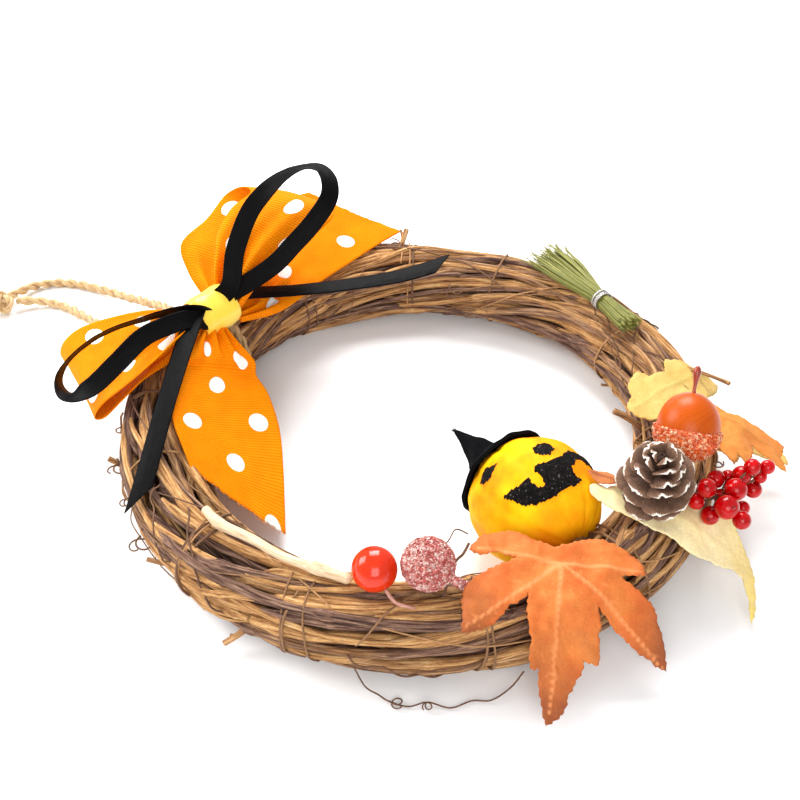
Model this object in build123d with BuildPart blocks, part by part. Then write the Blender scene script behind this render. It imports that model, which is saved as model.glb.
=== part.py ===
"""Harvest door wreath: a grapevine ring with a ribbon bow, a twine hanger, a witch-hat pumpkin,
fabric leaves, berries, an acorn, a pine cone and a little straw broom.

The wreath lies on its back. The origin is the centre of the ring on the plane that its back
rests on, +Z points out of the wreath's front, and +Y points to the hanger, so +Y is up on a door.
Angles go round the ring from +X towards +Y, in degrees. Lengths are in millimetres.
"""

import os
from math import atan2, cos, pi, radians, sin, sqrt, tan

from build123d import *

os.makedirs("parts", exist_ok=True)

# ---- driving dimensions ------------------------------------------------------------------------
RING_RADIUS = 86.0  # centre line of the vine bundle: about a 200 mm wreath outside
STRAND_PITCH = 4.9  # distance between neighbouring vine turns
STRAND_RADII = (2.2, 1.95, 2.1)
TIE_RADIUS = 0.6  # bark tendrils that bind the bundle
BUNDLE_RADIUS = 2 * STRAND_PITCH + max(STRAND_RADII)
TIE_RING_RADIUS = BUNDLE_RADIUS + TIE_RADIUS + 0.2
ENVELOPE_RADIUS = TIE_RING_RADIUS + TIE_RADIUS
RING_HEIGHT = ENVELOPE_RADIUS  # height of the bundle's centre line over the resting plane
CENTRE_LINE_RADIUS = RING_RADIUS + 0.5  # middle of the twisted bundle's own section
TIE_ANGLES = (8, 31, 62, 118, 139, 163, 187, 221, 252, 289, 327)

TWINE_DIAMETER = 3.4
RIBBON_WIDTH = 38.0  # 1.5 inch grosgrain
BLACK_RIBBON_WIDTH = 6.5  # 1/4 inch satin
CLOTH_THICKNESS = 0.8

BOW_CENTRE = Vector(-6.5, 78, 37)
BOW_AXIS = Vector(0.93, -0.33, 0.12)
BAND_INNER_RADIUS = 6.0
BAND_WIDTH = 12.0

PUMPKIN_CENTRE = Vector(-21, -53, 21.7)
PUMPKIN_RADIUS = 20.5
PUMPKIN_AXIS = Vector(0.41, 0.91, 0.04).normalized()
HAT_TIP = 38.5  # from the pumpkin's centre

WIRE_RADIUS = 0.5
BERRY_RADIUS = 6.5
SUGARED_BERRY_RADIUS = 8.0
SUGARED_STEM_RADIUS = 0.9
ACORN_RADIUS = 10.5


# ---- helpers -----------------------------------------------------------------------------------
def spot(angle, radius, height):
    """Point at a place round the ring."""
    return Vector(radius * cos(radians(angle)), radius * sin(radians(angle)), height)


def save(shape, name):
    """Labels a finished piece and writes its STEP file."""
    shape.label = name
    export_step(shape, f"parts/{name}.step")


def section_plane(flat):
    """Plane through flat's X axis, square to it, with its own Y along flat's normal."""
    return Plane(origin=flat.origin, x_dir=flat.x_dir, z_dir=-flat.y_dir)


def cloth_piece(flat, path, outline, thickness=CLOTH_THICKNESS):
    """Thin sheet that follows path along flat's X axis and has the plan outline on flat."""
    with BuildPart() as piece:
        with BuildSketch(section_plane(flat)):
            with BuildLine():
                Spline(*path)
            trace(line_width=thickness)
        extrude(amount=60, both=True)
        with BuildSketch(flat):
            with BuildLine():
                Polyline(*outline, close=True)
            make_face()
        extrude(amount=60, both=True, mode=Mode.INTERSECT)
    return piece.part


def ribbon_loop(flat, length, bulge, root_width, full_width, spread):
    """Bow loop: a teardrop band along flat's X axis, gathered to root_width at its root."""
    start = 1.0
    with BuildPart() as loop:
        with BuildSketch(section_plane(flat)):
            with BuildLine():
                Spline(
                    (start, spread), (0.45 * length, 0.8 * bulge), (0.8 * length, bulge),
                    (length, 0), (0.8 * length, -bulge), (0.45 * length, -0.8 * bulge), (start, -spread),
                )
            trace(line_width=CLOTH_THICKNESS)
        extrude(amount=full_width / 2, both=True)
        with BuildSketch(flat):
            with BuildLine():
                Polyline(
                    (0, -root_width / 2), (0.45 * length, -full_width / 2), (1.2 * length, -full_width / 2),
                    (1.2 * length, full_width / 2), (0.45 * length, full_width / 2), (0, root_width / 2),
                    close=True,
                )
            make_face()
        extrude(amount=60, both=True, mode=Mode.INTERSECT)
    return loop.part


def ring_frame(angle):
    """Plane across the ring at angle: X outwards, Y up, centred on the bundle."""
    outwards = spot(angle, 1, 0)
    centre = spot(angle, CENTRE_LINE_RADIUS, RING_HEIGHT)
    return Plane(origin=centre, x_dir=outwards, z_dir=outwards.cross(Vector(0, 0, 1)))


def plan_frame(angle, radius=RING_RADIUS, height=0.0):
    """Level plane over the ring at angle: X outwards, Y the way angles grow."""
    return Plane(origin=spot(angle, radius, height), x_dir=spot(angle, 1, 0), z_dir=(0, 0, 1))


def rod(start, end, radius, end_radius=None):
    """Straight round rod or taper between two points."""
    along = end - start
    plane = Plane(origin=start, z_dir=along)
    with BuildPart() as piece:
        with BuildSketch(plane):
            Circle(radius)
        with BuildSketch(plane.offset(along.length)):
            Circle(end_radius or radius)
        loft()
    return piece.part


def twine_tube(route):
    """Round tube along a route of straight runs and tangent arcs, with the arc radii it used."""
    radii = []
    for before, corner, after in zip(route, route[1:], route[2:]):
        arriving = corner - before
        leaving = after - corner
        turn = radians(arriving.get_angle(leaving))
        radii.append(0.45 * min(arriving.length, leaving.length) / tan(turn / 2))
    with BuildPart() as tube:
        with BuildLine() as path:
            FilletPolyline(*route, radius=radii)
        with BuildSketch(Plane(origin=route[0], z_dir=route[1] - route[0])):
            Circle(TWINE_DIAMETER / 2)
        sweep(path=path.wires()[0])
    length = path.wires()[0].length
    share = tube.part.volume / (pi * (TWINE_DIAMETER / 2) ** 2 * length)
    print(f"twine: length {length:.1f}, volume share {share:.4f}, radii", [round(r, 1) for r in radii])
    return tube.part


# ---- the vine ring -----------------------------------------------------------------------------
def strand_places():
    """Distance and direction of each vine turn from the bundle's centre, in two packed rings."""
    places = [(0.0, 0.0)]
    places += [(STRAND_PITCH, 60 * i) for i in range(6)]
    for i in range(6):
        places.append((2 * STRAND_PITCH, 60 * i))
        places.append((sqrt(3) * STRAND_PITCH, 60 * i + 30))
    return places


for number, (distance, direction) in enumerate(strand_places(), start=1):
    # Each turn is a tilted circle that goes once round the bundle, so the turns never meet.
    turn_radius = sqrt(RING_RADIUS**2 + distance**2)
    tilt = atan2(distance, RING_RADIUS)
    offset = spot(direction, 1, 0)
    level_cross = Vector(0, 0, 1).cross(offset)
    normal = Vector(0, 0, 1) * cos(tilt) - level_cross * sin(tilt)
    turn_plane = Plane(origin=offset * distance + Vector(0, 0, RING_HEIGHT), x_dir=offset, z_dir=normal)
    with BuildPart() as strand:
        with BuildSketch(
            Plane(
                origin=turn_plane.origin + turn_plane.x_dir * turn_radius,
                x_dir=turn_plane.x_dir,
                z_dir=turn_plane.y_dir,
            )
        ):
            Circle(STRAND_RADII[number % len(STRAND_RADII)])
        revolve(axis=Axis(turn_plane.origin, turn_plane.z_dir))
    save(strand.part, f"vine_turn_{number:02d}")

with BuildPart() as bark_ties:
    for angle in TIE_ANGLES:
        tie_frame = ring_frame(angle)
        with BuildSketch(Plane(origin=tie_frame.origin + tie_frame.x_dir * TIE_RING_RADIUS,
                               x_dir=tie_frame.x_dir, z_dir=tie_frame.y_dir)):
            Circle(TIE_RADIUS)
        revolve(axis=Axis(tie_frame.origin, tie_frame.z_dir))
save(bark_ties.part, "bark_ties")

PALE_VINE_RADIUS = 1.5
PALE_VINE_RING = 80.5
PALE_VINE_HEIGHT = RING_HEIGHT + sqrt((ENVELOPE_RADIUS + PALE_VINE_RADIUS + 0.2) ** 2
                                      - (CENTRE_LINE_RADIUS - PALE_VINE_RING) ** 2)
with BuildPart() as pale_vine:
    with BuildSketch(Plane(origin=spot(162, PALE_VINE_RING, PALE_VINE_HEIGHT), x_dir=spot(162, 1, 0),
                           z_dir=spot(252, 1, 0))):
        Circle(PALE_VINE_RADIUS)
    revolve(axis=Axis.Z, revolution_arc=34)
save(pale_vine.part, "pale_vine")

# Broken vine ends: where each starts on the ring's outside, and where its tip points.
STUB_RADIUS = 1.2
STUB_TIP_RADIUS = 0.6
STUBS = (
    (spot(131, 101.5, 11), spot(131, 106, 14)),
    (spot(178, 101.5, 7), spot(180, 107, 5)),
    (spot(33, 94, 25.5), spot(32, 97, 30)),
    (spot(294, 71, 19), spot(296, 64, 24)),
    (spot(312, 95, 27), spot(302, 104, 30)),
)
stub_rods = [rod(foot, tip, STUB_RADIUS, STUB_TIP_RADIUS) for foot, tip in STUBS]
with BuildPart() as twig_stubs:
    add(stub_rods)
save(twig_stubs.part, "twig_stubs")

CURL_RADIUS = 0.5
CURL_RING = 103  # distance of the curls from the wreath's centre
CURL_GAP = 1.2  # between the curls and the resting plane
with BuildPart() as curly_tendrils:
    for angle, swing in ((206, 5.0), (214, 3.5)):
        curl_plane = plan_frame(angle, CURL_RING, CURL_GAP + CURL_RADIUS)
        with BuildSketch(Plane(origin=curl_plane.origin + curl_plane.x_dir * swing, x_dir=curl_plane.x_dir,
                               z_dir=curl_plane.y_dir)):
            Circle(CURL_RADIUS)
        revolve(axis=Axis(curl_plane.origin, curl_plane.z_dir), revolution_arc=250)
save(curly_tendrils.part, "curly_tendrils")

# ---- the twine hanger --------------------------------------------------------------------------
WRAP_RADIUS = ENVELOPE_RADIUS + TWINE_DIAMETER / 2 + 0.2
with BuildPart() as ring_wrap:
    for angle in (88.6, 91.4):
        wrap_frame = ring_frame(angle)
        low = radians(-42)
        start = wrap_frame.x_dir * cos(low) + wrap_frame.y_dir * sin(low)
        around = wrap_frame.z_dir.cross(start)
        with BuildSketch(Plane(origin=wrap_frame.origin + start * WRAP_RADIUS, x_dir=start, z_dir=around)):
            Circle(TWINE_DIAMETER / 2)
        revolve(axis=Axis(wrap_frame.origin, wrap_frame.z_dir), revolution_arc=264)
save(ring_wrap.part, "hanger_ring_wrap")

KNOT_CENTRE = Vector(-11, 181, 5.6)
KNOT_RADIUS = 5.6
UPPER_ROUTE = (
    Vector(3, 102.5, 19.5), Vector(8.5, 113, 15.5), Vector(13, 124, 10.5), Vector(16.5, 137, 6),
    Vector(18.5, 151, 3), Vector(18, 165, 1.9), Vector(14, 177, 1.8), Vector(5, 183.5, 2.2),
    Vector(-6, 183, 4.4),
)
LOWER_ROUTE = (
    Vector(-3, 102.5, 19.5), Vector(-5.5, 113, 14.5), Vector(-6, 125, 9.5), Vector(-3.5, 138, 5.6),
    Vector(0.5, 150, 3.2), Vector(3, 161.5, 2), Vector(1, 172, 2.4), Vector(-6, 178.5, 4.2),
)
save(twine_tube(UPPER_ROUTE), "hanger_strand_upper")
save(twine_tube(LOWER_ROUTE), "hanger_strand_lower")

KNOT_TAIL_ENDS = (Vector(-24, 196, 1.9), Vector(-17, 201, 1.9))
knot_tails = [rod(KNOT_CENTRE + Vector(0, 0, -1.5), end, TWINE_DIAMETER / 2) for end in KNOT_TAIL_ENDS]
with BuildPart() as hanger_knot:
    with Locations(KNOT_CENTRE):
        Sphere(KNOT_RADIUS)
    add(knot_tails)
save(hanger_knot.part, "hanger_knot")

# ---- the bow -----------------------------------------------------------------------------------
band_plane = Plane(origin=BOW_CENTRE - BOW_AXIS * (BAND_WIDTH / 2), z_dir=BOW_AXIS)
with BuildPart() as bow_core:
    with BuildSketch(band_plane):
        Circle(BAND_INNER_RADIUS - 0.1)
    extrude(amount=BAND_WIDTH)
save(bow_core.part, "bow_gather")

with BuildPart() as gold_band:
    with BuildSketch(band_plane):
        Circle(BAND_INNER_RADIUS + CLOTH_THICKNESS)
        Circle(BAND_INNER_RADIUS, mode=Mode.SUBTRACT)
    extrude(amount=BAND_WIDTH)
save(gold_band.part, "gold_band")

wire_frame = ring_frame(95)
with BuildPart() as bow_wire:
    with BuildSketch(Plane(origin=wire_frame.origin + wire_frame.x_dir * TIE_RING_RADIUS,
                           x_dir=wire_frame.x_dir, z_dir=wire_frame.y_dir)):
        Circle(0.45)
    revolve(axis=Axis(wire_frame.origin, wire_frame.z_dir))
save(bow_wire.part, "bow_wire")

left_root = BOW_CENTRE - BOW_AXIS * 8.5 + Vector(0, 4, 0)
left_frame = Plane(origin=left_root, x_dir=(-0.455, 0.788, -0.38), z_dir=(-0.19, 0.33, 0.92))
save(ribbon_loop(left_frame, 54, 7.5, 12, RIBBON_WIDTH, 1.2), "orange_loop_left")

right_root = BOW_CENTRE + BOW_AXIS * 9 + Vector(0, 2, 1)
right_frame = Plane(origin=right_root, x_dir=(0.844, 0.199, 0.5), z_dir=(-0.487, -0.115, 0.867))
save(ribbon_loop(right_frame, 48, 7.5, 12, RIBBON_WIDTH, 1.2), "orange_loop_right")

right_tail_frame = Plane(origin=(5, 73, 33), x_dir=(1, 0, 0), z_dir=(0, -0.41, 0.91))
save(
    cloth_piece(
        right_tail_frame,
        [(-2, 0), (20, -0.5), (45, 0.5), (70, 0), (95, -3)],
        [(2, -4), (14, -12), (33, -16), (64, -18), (87, -18), (66, 4), (40, 10), (16, 8), (2, 5)],
    ),
    "orange_tail_right",
)

lower_tail_frame = Plane(origin=(-15, 74, 33), x_dir=(-0.68, -0.68, -0.31), z_dir=(0.16, -0.54, 0.83))
save(
    cloth_piece(
        lower_tail_frame,
        [(-2, 0), (25, 0.5), (50, 0), (80, -1)],
        [
            (2, -5), (12, -13), (30, -17), (46, -15), (50, -10), (77, 20), (60, 22), (34, 20), (14, 14), (2, 4),
        ],
    ),
    "orange_tail_lower",
)

black_right_frame = Plane(origin=BOW_CENTRE + BOW_AXIS * 6 + Vector(-1, -5, 7), x_dir=(0.742, -0.153, 0.653),
                          z_dir=(-0.13, -0.985, -0.083))
save(ribbon_loop(black_right_frame, 53, 8, 6.5, BLACK_RIBBON_WIDTH, 1.0), "black_loop_right")

black_left_frame = Plane(origin=BOW_CENTRE - BOW_AXIS * 6 + Vector(-2, -2, 8), x_dir=(-0.73, 0.62, -0.19),
                         z_dir=(0.66, 0.74, -0.12))
save(ribbon_loop(black_left_frame, 52, 5.5, 6.5, BLACK_RIBBON_WIDTH, 1.0), "black_loop_left")

black_strip = [(0, -3.25), (72, -3.25), (75, 3.25), (0, 3.25)]
black_right_tail_frame = Plane(origin=(10, 70, 31.8), x_dir=(0.8, -0.6, 0), z_dir=(0, 0, 1))
save(
    cloth_piece(black_right_tail_frame, [(-2, 3), (20, -1), (45, -3), (80, -2)], black_strip),
    "black_tail_right",
)
black_lower_tail_frame = Plane(origin=(-19, 76.5, 38.6), x_dir=(-0.928, -0.371, 0), z_dir=(0, 0, 1))
save(
    cloth_piece(black_lower_tail_frame, [(-2, 0), (20, -1), (40, -4), (60, -9), (80, -13)], black_strip),
    "black_tail_lower",
)

# ---- the pumpkin and its hat -------------------------------------------------------------------
with BuildPart() as pumpkin:
    with Locations(PUMPKIN_CENTRE):
        Sphere(PUMPKIN_RADIUS)
    with Locations((0, 0, RING_HEIGHT)):  # the foam is pressed against the vines
        Torus(CENTRE_LINE_RADIUS, ENVELOPE_RADIUS + 0.2, mode=Mode.SUBTRACT)
save(pumpkin.part, "pumpkin_body")

hat_side = PUMPKIN_AXIS.cross(Vector(0, 0, 1)).normalized()
hat_plane = Plane(origin=PUMPKIN_CENTRE, x_dir=hat_side, z_dir=hat_side.cross(PUMPKIN_AXIS))
BRIM_SPREAD = radians(47)
BRIM_INNER = PUMPKIN_RADIUS + 0.2
BRIM_OUTER = BRIM_INNER + 1.5
HAT_FOOT = BRIM_OUTER + 0.1
HAT_FOOT_RADIUS = 5.5


def on_brim(radius, spread):
    """Point of the hat's section: radius from the pumpkin's centre, spread from its axis."""
    return (radius * sin(spread), radius * cos(spread))


inner_rim = on_brim(BRIM_INNER, BRIM_SPREAD)
outer_rim = on_brim(BRIM_OUTER, BRIM_SPREAD)
with BuildPart() as hat_brim:
    with BuildSketch(hat_plane):
        with BuildLine():
            ThreePointArc((0, BRIM_INNER), on_brim(BRIM_INNER, BRIM_SPREAD / 2), inner_rim)
            Line(inner_rim, outer_rim)
            ThreePointArc(outer_rim, on_brim(BRIM_OUTER, BRIM_SPREAD / 2), (0, BRIM_OUTER))
            Line((0, BRIM_OUTER), (0, BRIM_INNER))
        make_face()
    revolve(axis=Axis(hat_plane.origin, hat_plane.y_dir))
save(hat_brim.part, "hat_brim")

with BuildPart() as hat_cone:
    with BuildSketch(hat_plane):
        with BuildLine():
            Polyline(
                (0, HAT_FOOT), (HAT_FOOT_RADIUS, HAT_FOOT), (3, 28.5), (0.8, HAT_TIP), (0, HAT_TIP),
                close=True,
            )
        make_face()
    revolve(axis=Axis(hat_plane.origin, hat_plane.y_dir))
save(hat_cone.part, "hat_cone")

# ---- single berries ----------------------------------------------------------------------------
orange_berry_centre = spot(201, 83.5, 34)
with BuildPart() as orange_berry:
    with Locations(orange_berry_centre):
        Sphere(BERRY_RADIUS)
save(orange_berry.part, "orange_berry")
save(rod(orange_berry_centre + spot(245, 5.6, -4), spot(208.5, 91, 27.2), WIRE_RADIUS), "orange_berry_wire")

sugared_berry_centre = spot(211.3, 82, 35.5)
with BuildPart() as sugared_berry:
    with Locations(sugared_berry_centre):
        Sphere(SUGARED_BERRY_RADIUS)
save(sugared_berry.part, "sugared_berry")
sugared_stem = rod(sugared_berry_centre + spot(285, 7.2, -4.2), spot(219, 85.5, 29), SUGARED_STEM_RADIUS)
save(sugared_stem, "sugared_berry_stem")

# ---- fabric leaves: section over the ring (outwards, up) and plan outline (outwards, round) -----
LEAF_SECTION = [(-30, 36), (-12, 33.5), (0, 30.5), (11, 26), (19, 18), (30, 8), (42, 1.5)]

MAPLE_OUTLINE = [
    (-4, 2), (-11, -5), (-15, -12), (-13, -22), (-8, -15), (-4, -12), (-5, -22), (-2, -29), (8, -35),
    (6, -22), (5, -14), (15, -18), (22, -19), (32, -22), (28, -13), (24, -5), (24, 0), (13, 4), (22, 9),
    (27, 13), (32, 18), (20, 20), (10, 15), (12, 22), (4, 20), (-2, 13),
]
save(cloth_piece(plan_frame(237), LEAF_SECTION, MAPLE_OUTLINE), "maple_leaf")

PALE_SECTION = [(-30, 31), (-12, 30), (0, 28.7), (11, 24.5), (18, 17.5), (28, 9), (42, 2.2)]
save(
    cloth_piece(
        plan_frame(263),
        PALE_SECTION,
        [
            (-9, -7), (-8, 2), (-3, 4), (5, 9), (13, 15), (20, 21), (28, 16), (34, 9), (39, -1), (28, 6),
            (17, -3),
        ],
    ),
    "pale_leaf",
)

save(
    cloth_piece(
        plan_frame(304),
        [(-30, 30), (-12, 29), (0, 28.2), (11, 24.2), (18, 17), (30, 10)],
        [
            (-17, -13), (-16, -5), (-14, 3), (-5, 4), (1, 11), (7, 10), (18, 8), (13, -4), (5, -10), (-6, -14),
        ],
    ),
    "yellow_leaf",
)

save(
    cloth_piece(
        plan_frame(292),
        [(-10, 31.5), (6, 30.5), (16, 28), (26, 23), (38, 15)],
        [(3, -6), (5, 3), (15, 5), (28, 4), (35, 2), (34, -8), (25, -9), (18, -16), (9, -13)],
        thickness=0.6,
    ),
    "gold_leaf",
)

save(
    cloth_piece(
        plan_frame(253.5),
        [(-24, 37), (-10, 35), (4, 32.5)],
        [(-11, -2), (-7, -5), (-1, -4), (1, -1), (-4, 2), (-9, 1)],
        thickness=0.6,
    ),
    "brown_leaf_tip",
)

# ---- the acorn ---------------------------------------------------------------------------------
acorn_axis = Vector(16.3, 4.8, 26).normalized()
acorn_foot = Vector(8.2, -88.4, 32.6)
acorn_plane = Plane(origin=acorn_foot, x_dir=acorn_axis.cross(Vector(0, 0, 1)),
                    z_dir=acorn_axis.cross(Vector(0, 0, 1)).cross(acorn_axis))
CAP_HEIGHT = 9.5
NUT_TOP = 20.5
with BuildPart() as acorn_cap:
    with BuildSketch(acorn_plane):
        with BuildLine():
            Line((0, 0), (3, 0))
            ThreePointArc((3, 0), (ACORN_RADIUS - 1.5, 4.2), (ACORN_RADIUS, CAP_HEIGHT))
            Line((ACORN_RADIUS, CAP_HEIGHT), (0, CAP_HEIGHT))
            Line((0, CAP_HEIGHT), (0, 0))
        make_face()
    revolve(axis=Axis(acorn_plane.origin, acorn_plane.y_dir))
save(acorn_cap.part, "acorn_cap")

with BuildPart() as acorn_nut:
    with BuildSketch(acorn_plane):
        with BuildLine():
            Line((0, CAP_HEIGHT), (ACORN_RADIUS - 1, CAP_HEIGHT))
            ThreePointArc((ACORN_RADIUS - 1, CAP_HEIGHT), (7.6, 16.8), (1.2, NUT_TOP))
            Line((1.2, NUT_TOP), (0, NUT_TOP))
            Line((0, NUT_TOP), (0, CAP_HEIGHT))
        make_face()
    revolve(axis=Axis(acorn_plane.origin, acorn_plane.y_dir))
save(acorn_nut.part, "acorn_nut")

save(rod(acorn_foot + acorn_axis * NUT_TOP, acorn_foot + acorn_axis * 29.2, 0.8, 1.1), "acorn_tip")

# ---- the pine cone -----------------------------------------------------------------------------
cone_axis = spot(200, sin(radians(12)), cos(radians(12)))
cone_foot = Vector(-8.6, -85.4, 32.3)
cone_plane = Plane(origin=cone_foot, z_dir=cone_axis)
with BuildPart() as cone_core:
    with BuildSketch(cone_plane):
        Circle(4.2)
    with BuildSketch(cone_plane.offset(18)):
        Circle(1.6)
    loft()
save(cone_core.part, "pinecone_core")

# Rows of scales from the base up: height, length of a scale, its lift, and how many go round.
SCALE_ROWS = (
    (2.5, 7.3, 12, 9), (5.8, 7.7, 24, 9), (9.2, 7.0, 36, 8), (12.6, 5.6, 50, 7), (15.8, 4.0, 64, 5),
)
with BuildPart() as cone_scales:
    for row, (height, length, lift, count) in enumerate(SCALE_ROWS):
        core_radius = 4.2 - 2.6 * height / 18
        for i in range(count):
            turn = 360 * (i + 0.5 * (row % 2)) / count
            base = cone_plane.offset(height)
            outwards = base.x_dir * cos(radians(turn)) + base.y_dir * sin(radians(turn))
            sideways = base.z_dir.cross(outwards)
            along = outwards * cos(radians(lift)) + base.z_dir * sin(radians(lift))
            scale_plane = Plane(origin=base.origin + outwards * (core_radius + 0.9), x_dir=along,
                                z_dir=along.cross(sideways))
            tip_half = pi * (core_radius + length * cos(radians(lift))) / count * 0.86
            with BuildSketch(scale_plane):
                with BuildLine():
                    Polyline((length * 0.75, tip_half), (0, 0.9), (0, -0.9), (length * 0.75, -tip_half))
                    ThreePointArc((length * 0.75, -tip_half), (length, 0), (length * 0.75, tip_half))
                make_face()
            extrude(amount=0.9)
save(cone_scales.part, "pinecone_scales")

# ---- the berry cluster -------------------------------------------------------------------------
# Each berry: along the cluster's stem, across it, up from it, and its radius.
CLUSTER_BERRIES = (
    (-7, -1.5, 3, 2.75), (-1.5, -6.5, 0, 3.4), (2.5, 0.5, 0.5, 3.2), (-5, -4, -6, 2.7),
    (3.5, -7.5, -4.5, 2.6),
    (9.5, 5, -4, 2.5), (7.5, 5, 5.5, 2.4), (12.5, 6, 4.5, 2.1), (5.5, 6.5, 0.5, 2.8), (-2, 6.5, -1, 2.6),
    (2.5, 9, -3, 2.3), (-9.5, -2, -2, 2.4), (6.5, 2, -9, 2.1), (11, 6, 0.5, 2.0), (-0.5, 3, -5, 2.2),
)
cluster_root = Vector(3.5, -104.5, 31)
cluster_along = spot(-60, 1, 0)
cluster_across = spot(30, 1, 0)


def cluster_point(along, across, up):
    """Point of the berry cluster from its own stem coordinates."""
    return cluster_root + cluster_along * along + cluster_across * across + Vector(0, 0, up)


with BuildPart() as cluster_berries:
    for along, across, up, radius in CLUSTER_BERRIES:
        with Locations(cluster_point(along, across, up)):
            Sphere(radius)
save(cluster_berries.part, "cluster_berries")

save(rod(cluster_point(-12, 2, -1.5), cluster_point(-4.6, 1.5, -1), WIRE_RADIUS), "cluster_stem")

# ---- the straw broom ---------------------------------------------------------------------------
broom_tie_point = Vector(75, -33.5, 30.8)
broom_heading = spot(60, 1, 0)
STRAW_WAIST = 3.0
with BuildPart() as straw_broom:
    broom_side = broom_heading.cross(Vector(0, 0, 1))
    fan_plane = Plane(origin=broom_tie_point, x_dir=broom_side, z_dir=broom_heading)
    with BuildSketch(fan_plane):
        Circle(STRAW_WAIST)
    with BuildSketch(fan_plane.offset(40)):
        Ellipse(8.5, 3.2)
    loft()
    with BuildSketch(fan_plane):
        Circle(STRAW_WAIST)
    with BuildSketch(fan_plane.offset(-18)):
        Ellipse(4.2, 2.6)
    loft()
save(straw_broom.part, "straw_broom")

with BuildPart() as straw_tie:
    with BuildSketch(fan_plane.offset(-1.5)):
        Circle(STRAW_WAIST + 1.0)
        Circle(STRAW_WAIST + 0.4, mode=Mode.SUBTRACT)
    extrude(amount=3)
save(straw_tie.part, "straw_tie")
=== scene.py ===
"""Harvest door wreath: a grapevine ring on its back with a ribbon bow, a twine hanger, a pumpkin in
a felt hat, fabric leaves, berries, an acorn, a pine cone and a straw broom.

Points are in millimetres in the wreath's own frame until a piece is made. +Z comes out of the
wreath's front, +Y points to its hanger, and angles go round the ring from +X towards +Y.
"""

import random
from math import acos, atan2, cos, exp, hypot, pi, radians, sin, sqrt

import bpy
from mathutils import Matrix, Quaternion, Vector, noise
from mathutils.geometry import delaunay_2d_cdt


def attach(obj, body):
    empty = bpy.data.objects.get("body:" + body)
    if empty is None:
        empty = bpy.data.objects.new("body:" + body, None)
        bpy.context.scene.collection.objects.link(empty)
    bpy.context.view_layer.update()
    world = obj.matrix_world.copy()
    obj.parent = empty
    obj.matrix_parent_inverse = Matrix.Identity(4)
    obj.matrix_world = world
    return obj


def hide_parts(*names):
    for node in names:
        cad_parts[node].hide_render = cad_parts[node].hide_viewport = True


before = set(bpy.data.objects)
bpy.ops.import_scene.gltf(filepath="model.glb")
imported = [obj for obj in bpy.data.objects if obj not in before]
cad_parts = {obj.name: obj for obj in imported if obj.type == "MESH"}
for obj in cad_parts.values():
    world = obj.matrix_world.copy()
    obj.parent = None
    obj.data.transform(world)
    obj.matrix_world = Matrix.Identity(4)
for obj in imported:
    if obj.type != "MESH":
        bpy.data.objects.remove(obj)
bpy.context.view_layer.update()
MM = 0.001

# ---- places shared with the CAD model ----------------------------------------------------------
RING_RADIUS = 86.0
RING_HEIGHT = 13.4
CENTRE_LINE_RADIUS = 86.5
STRAND_PITCH = 4.9
BUNDLE_RADIUS = 13.0
TIE_ANGLES = (8, 31, 62, 118, 139, 163, 187, 221, 252, 289, 327)
TWINE_DIAMETER = 3.4
BOW_CENTRE = Vector((-6.5, 78, 37))
BOW_AXIS = Vector((0.93, -0.33, 0.12)).normalized()
PUMPKIN_CENTRE = Vector((-21, -53, 21.7))
PUMPKIN_RADIUS = 20.5
PUMPKIN_AXIS = Vector((0.41, 0.91, 0.04)).normalized()
UP = Vector((0, 0, 1))


# ---- curves and directions ---------------------------------------------------------------------
def spot(angle, radius, height):
    """Point at a place round the ring."""
    return Vector((radius * cos(radians(angle)), radius * sin(radians(angle)), height))


def clamp(value, low=0.0, high=1.0):
    return min(max(value, low), high)


def ease(value):
    """Smooth step from 0 to 1."""
    value = clamp(value)
    return value * value * (3 - 2 * value)


def sway(x, y=0.0, z=0.0):
    """Smooth noise from about -1 to 1."""
    return 1.6 * noise.noise(Vector((x + 0.37, y + 0.71, z + 0.13)))


def on_curve(points, share):
    """Value at a share of the way along a smooth curve through points, numbers or vectors."""
    last = len(points) - 1
    place = clamp(share) * last
    index = min(int(place), last - 1)
    t = place - index
    a, b, c, d = (points[int(clamp(index + k, 0, last))] for k in (-1, 0, 1, 2))
    bend = (a * 2 - b * 5 + c * 4 - d) * (t * t) + (b * 3 - a - c * 3 + d) * (t**3)
    return 0.5 * (b * 2 + (c - a) * t + bend)


def run_length(points):
    """Length of the straight runs between points."""
    return sum((b - a).length for a, b in zip(points, points[1:]))


def smooth_path(points, step):
    """Points about step apart on a smooth curve through the given ones."""
    points = [Vector(p) for p in points]
    count = max(4, int(run_length(points) / step))
    return [on_curve(points, i / count) for i in range(count + 1)]


def traced(count, place, low):
    """Line of place(share) at count + 1 even shares from 0 to 1, kept above a lowest height."""
    line = [place(i / count) for i in range(count + 1)]
    for point in line:
        point.z = max(point.z, low)
    return line


def round_dir(angle, first, second):
    """Unit direction at an angle in radians from first towards second."""
    return first * cos(angle) + second * sin(angle)


def random_dir(chance):
    return Vector((chance.gauss(0, 1), chance.gauss(0, 1), chance.gauss(0, 1))).normalized()


def square_frame(along, hint=UP):
    """Two unit directions square to along, the first as near to hint as it can be."""
    along = along.normalized()
    first = hint - along * hint.dot(along)
    if first.length < 1e-4:
        first = along.orthogonal()
    first.normalize()
    return first, along.cross(first)


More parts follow.
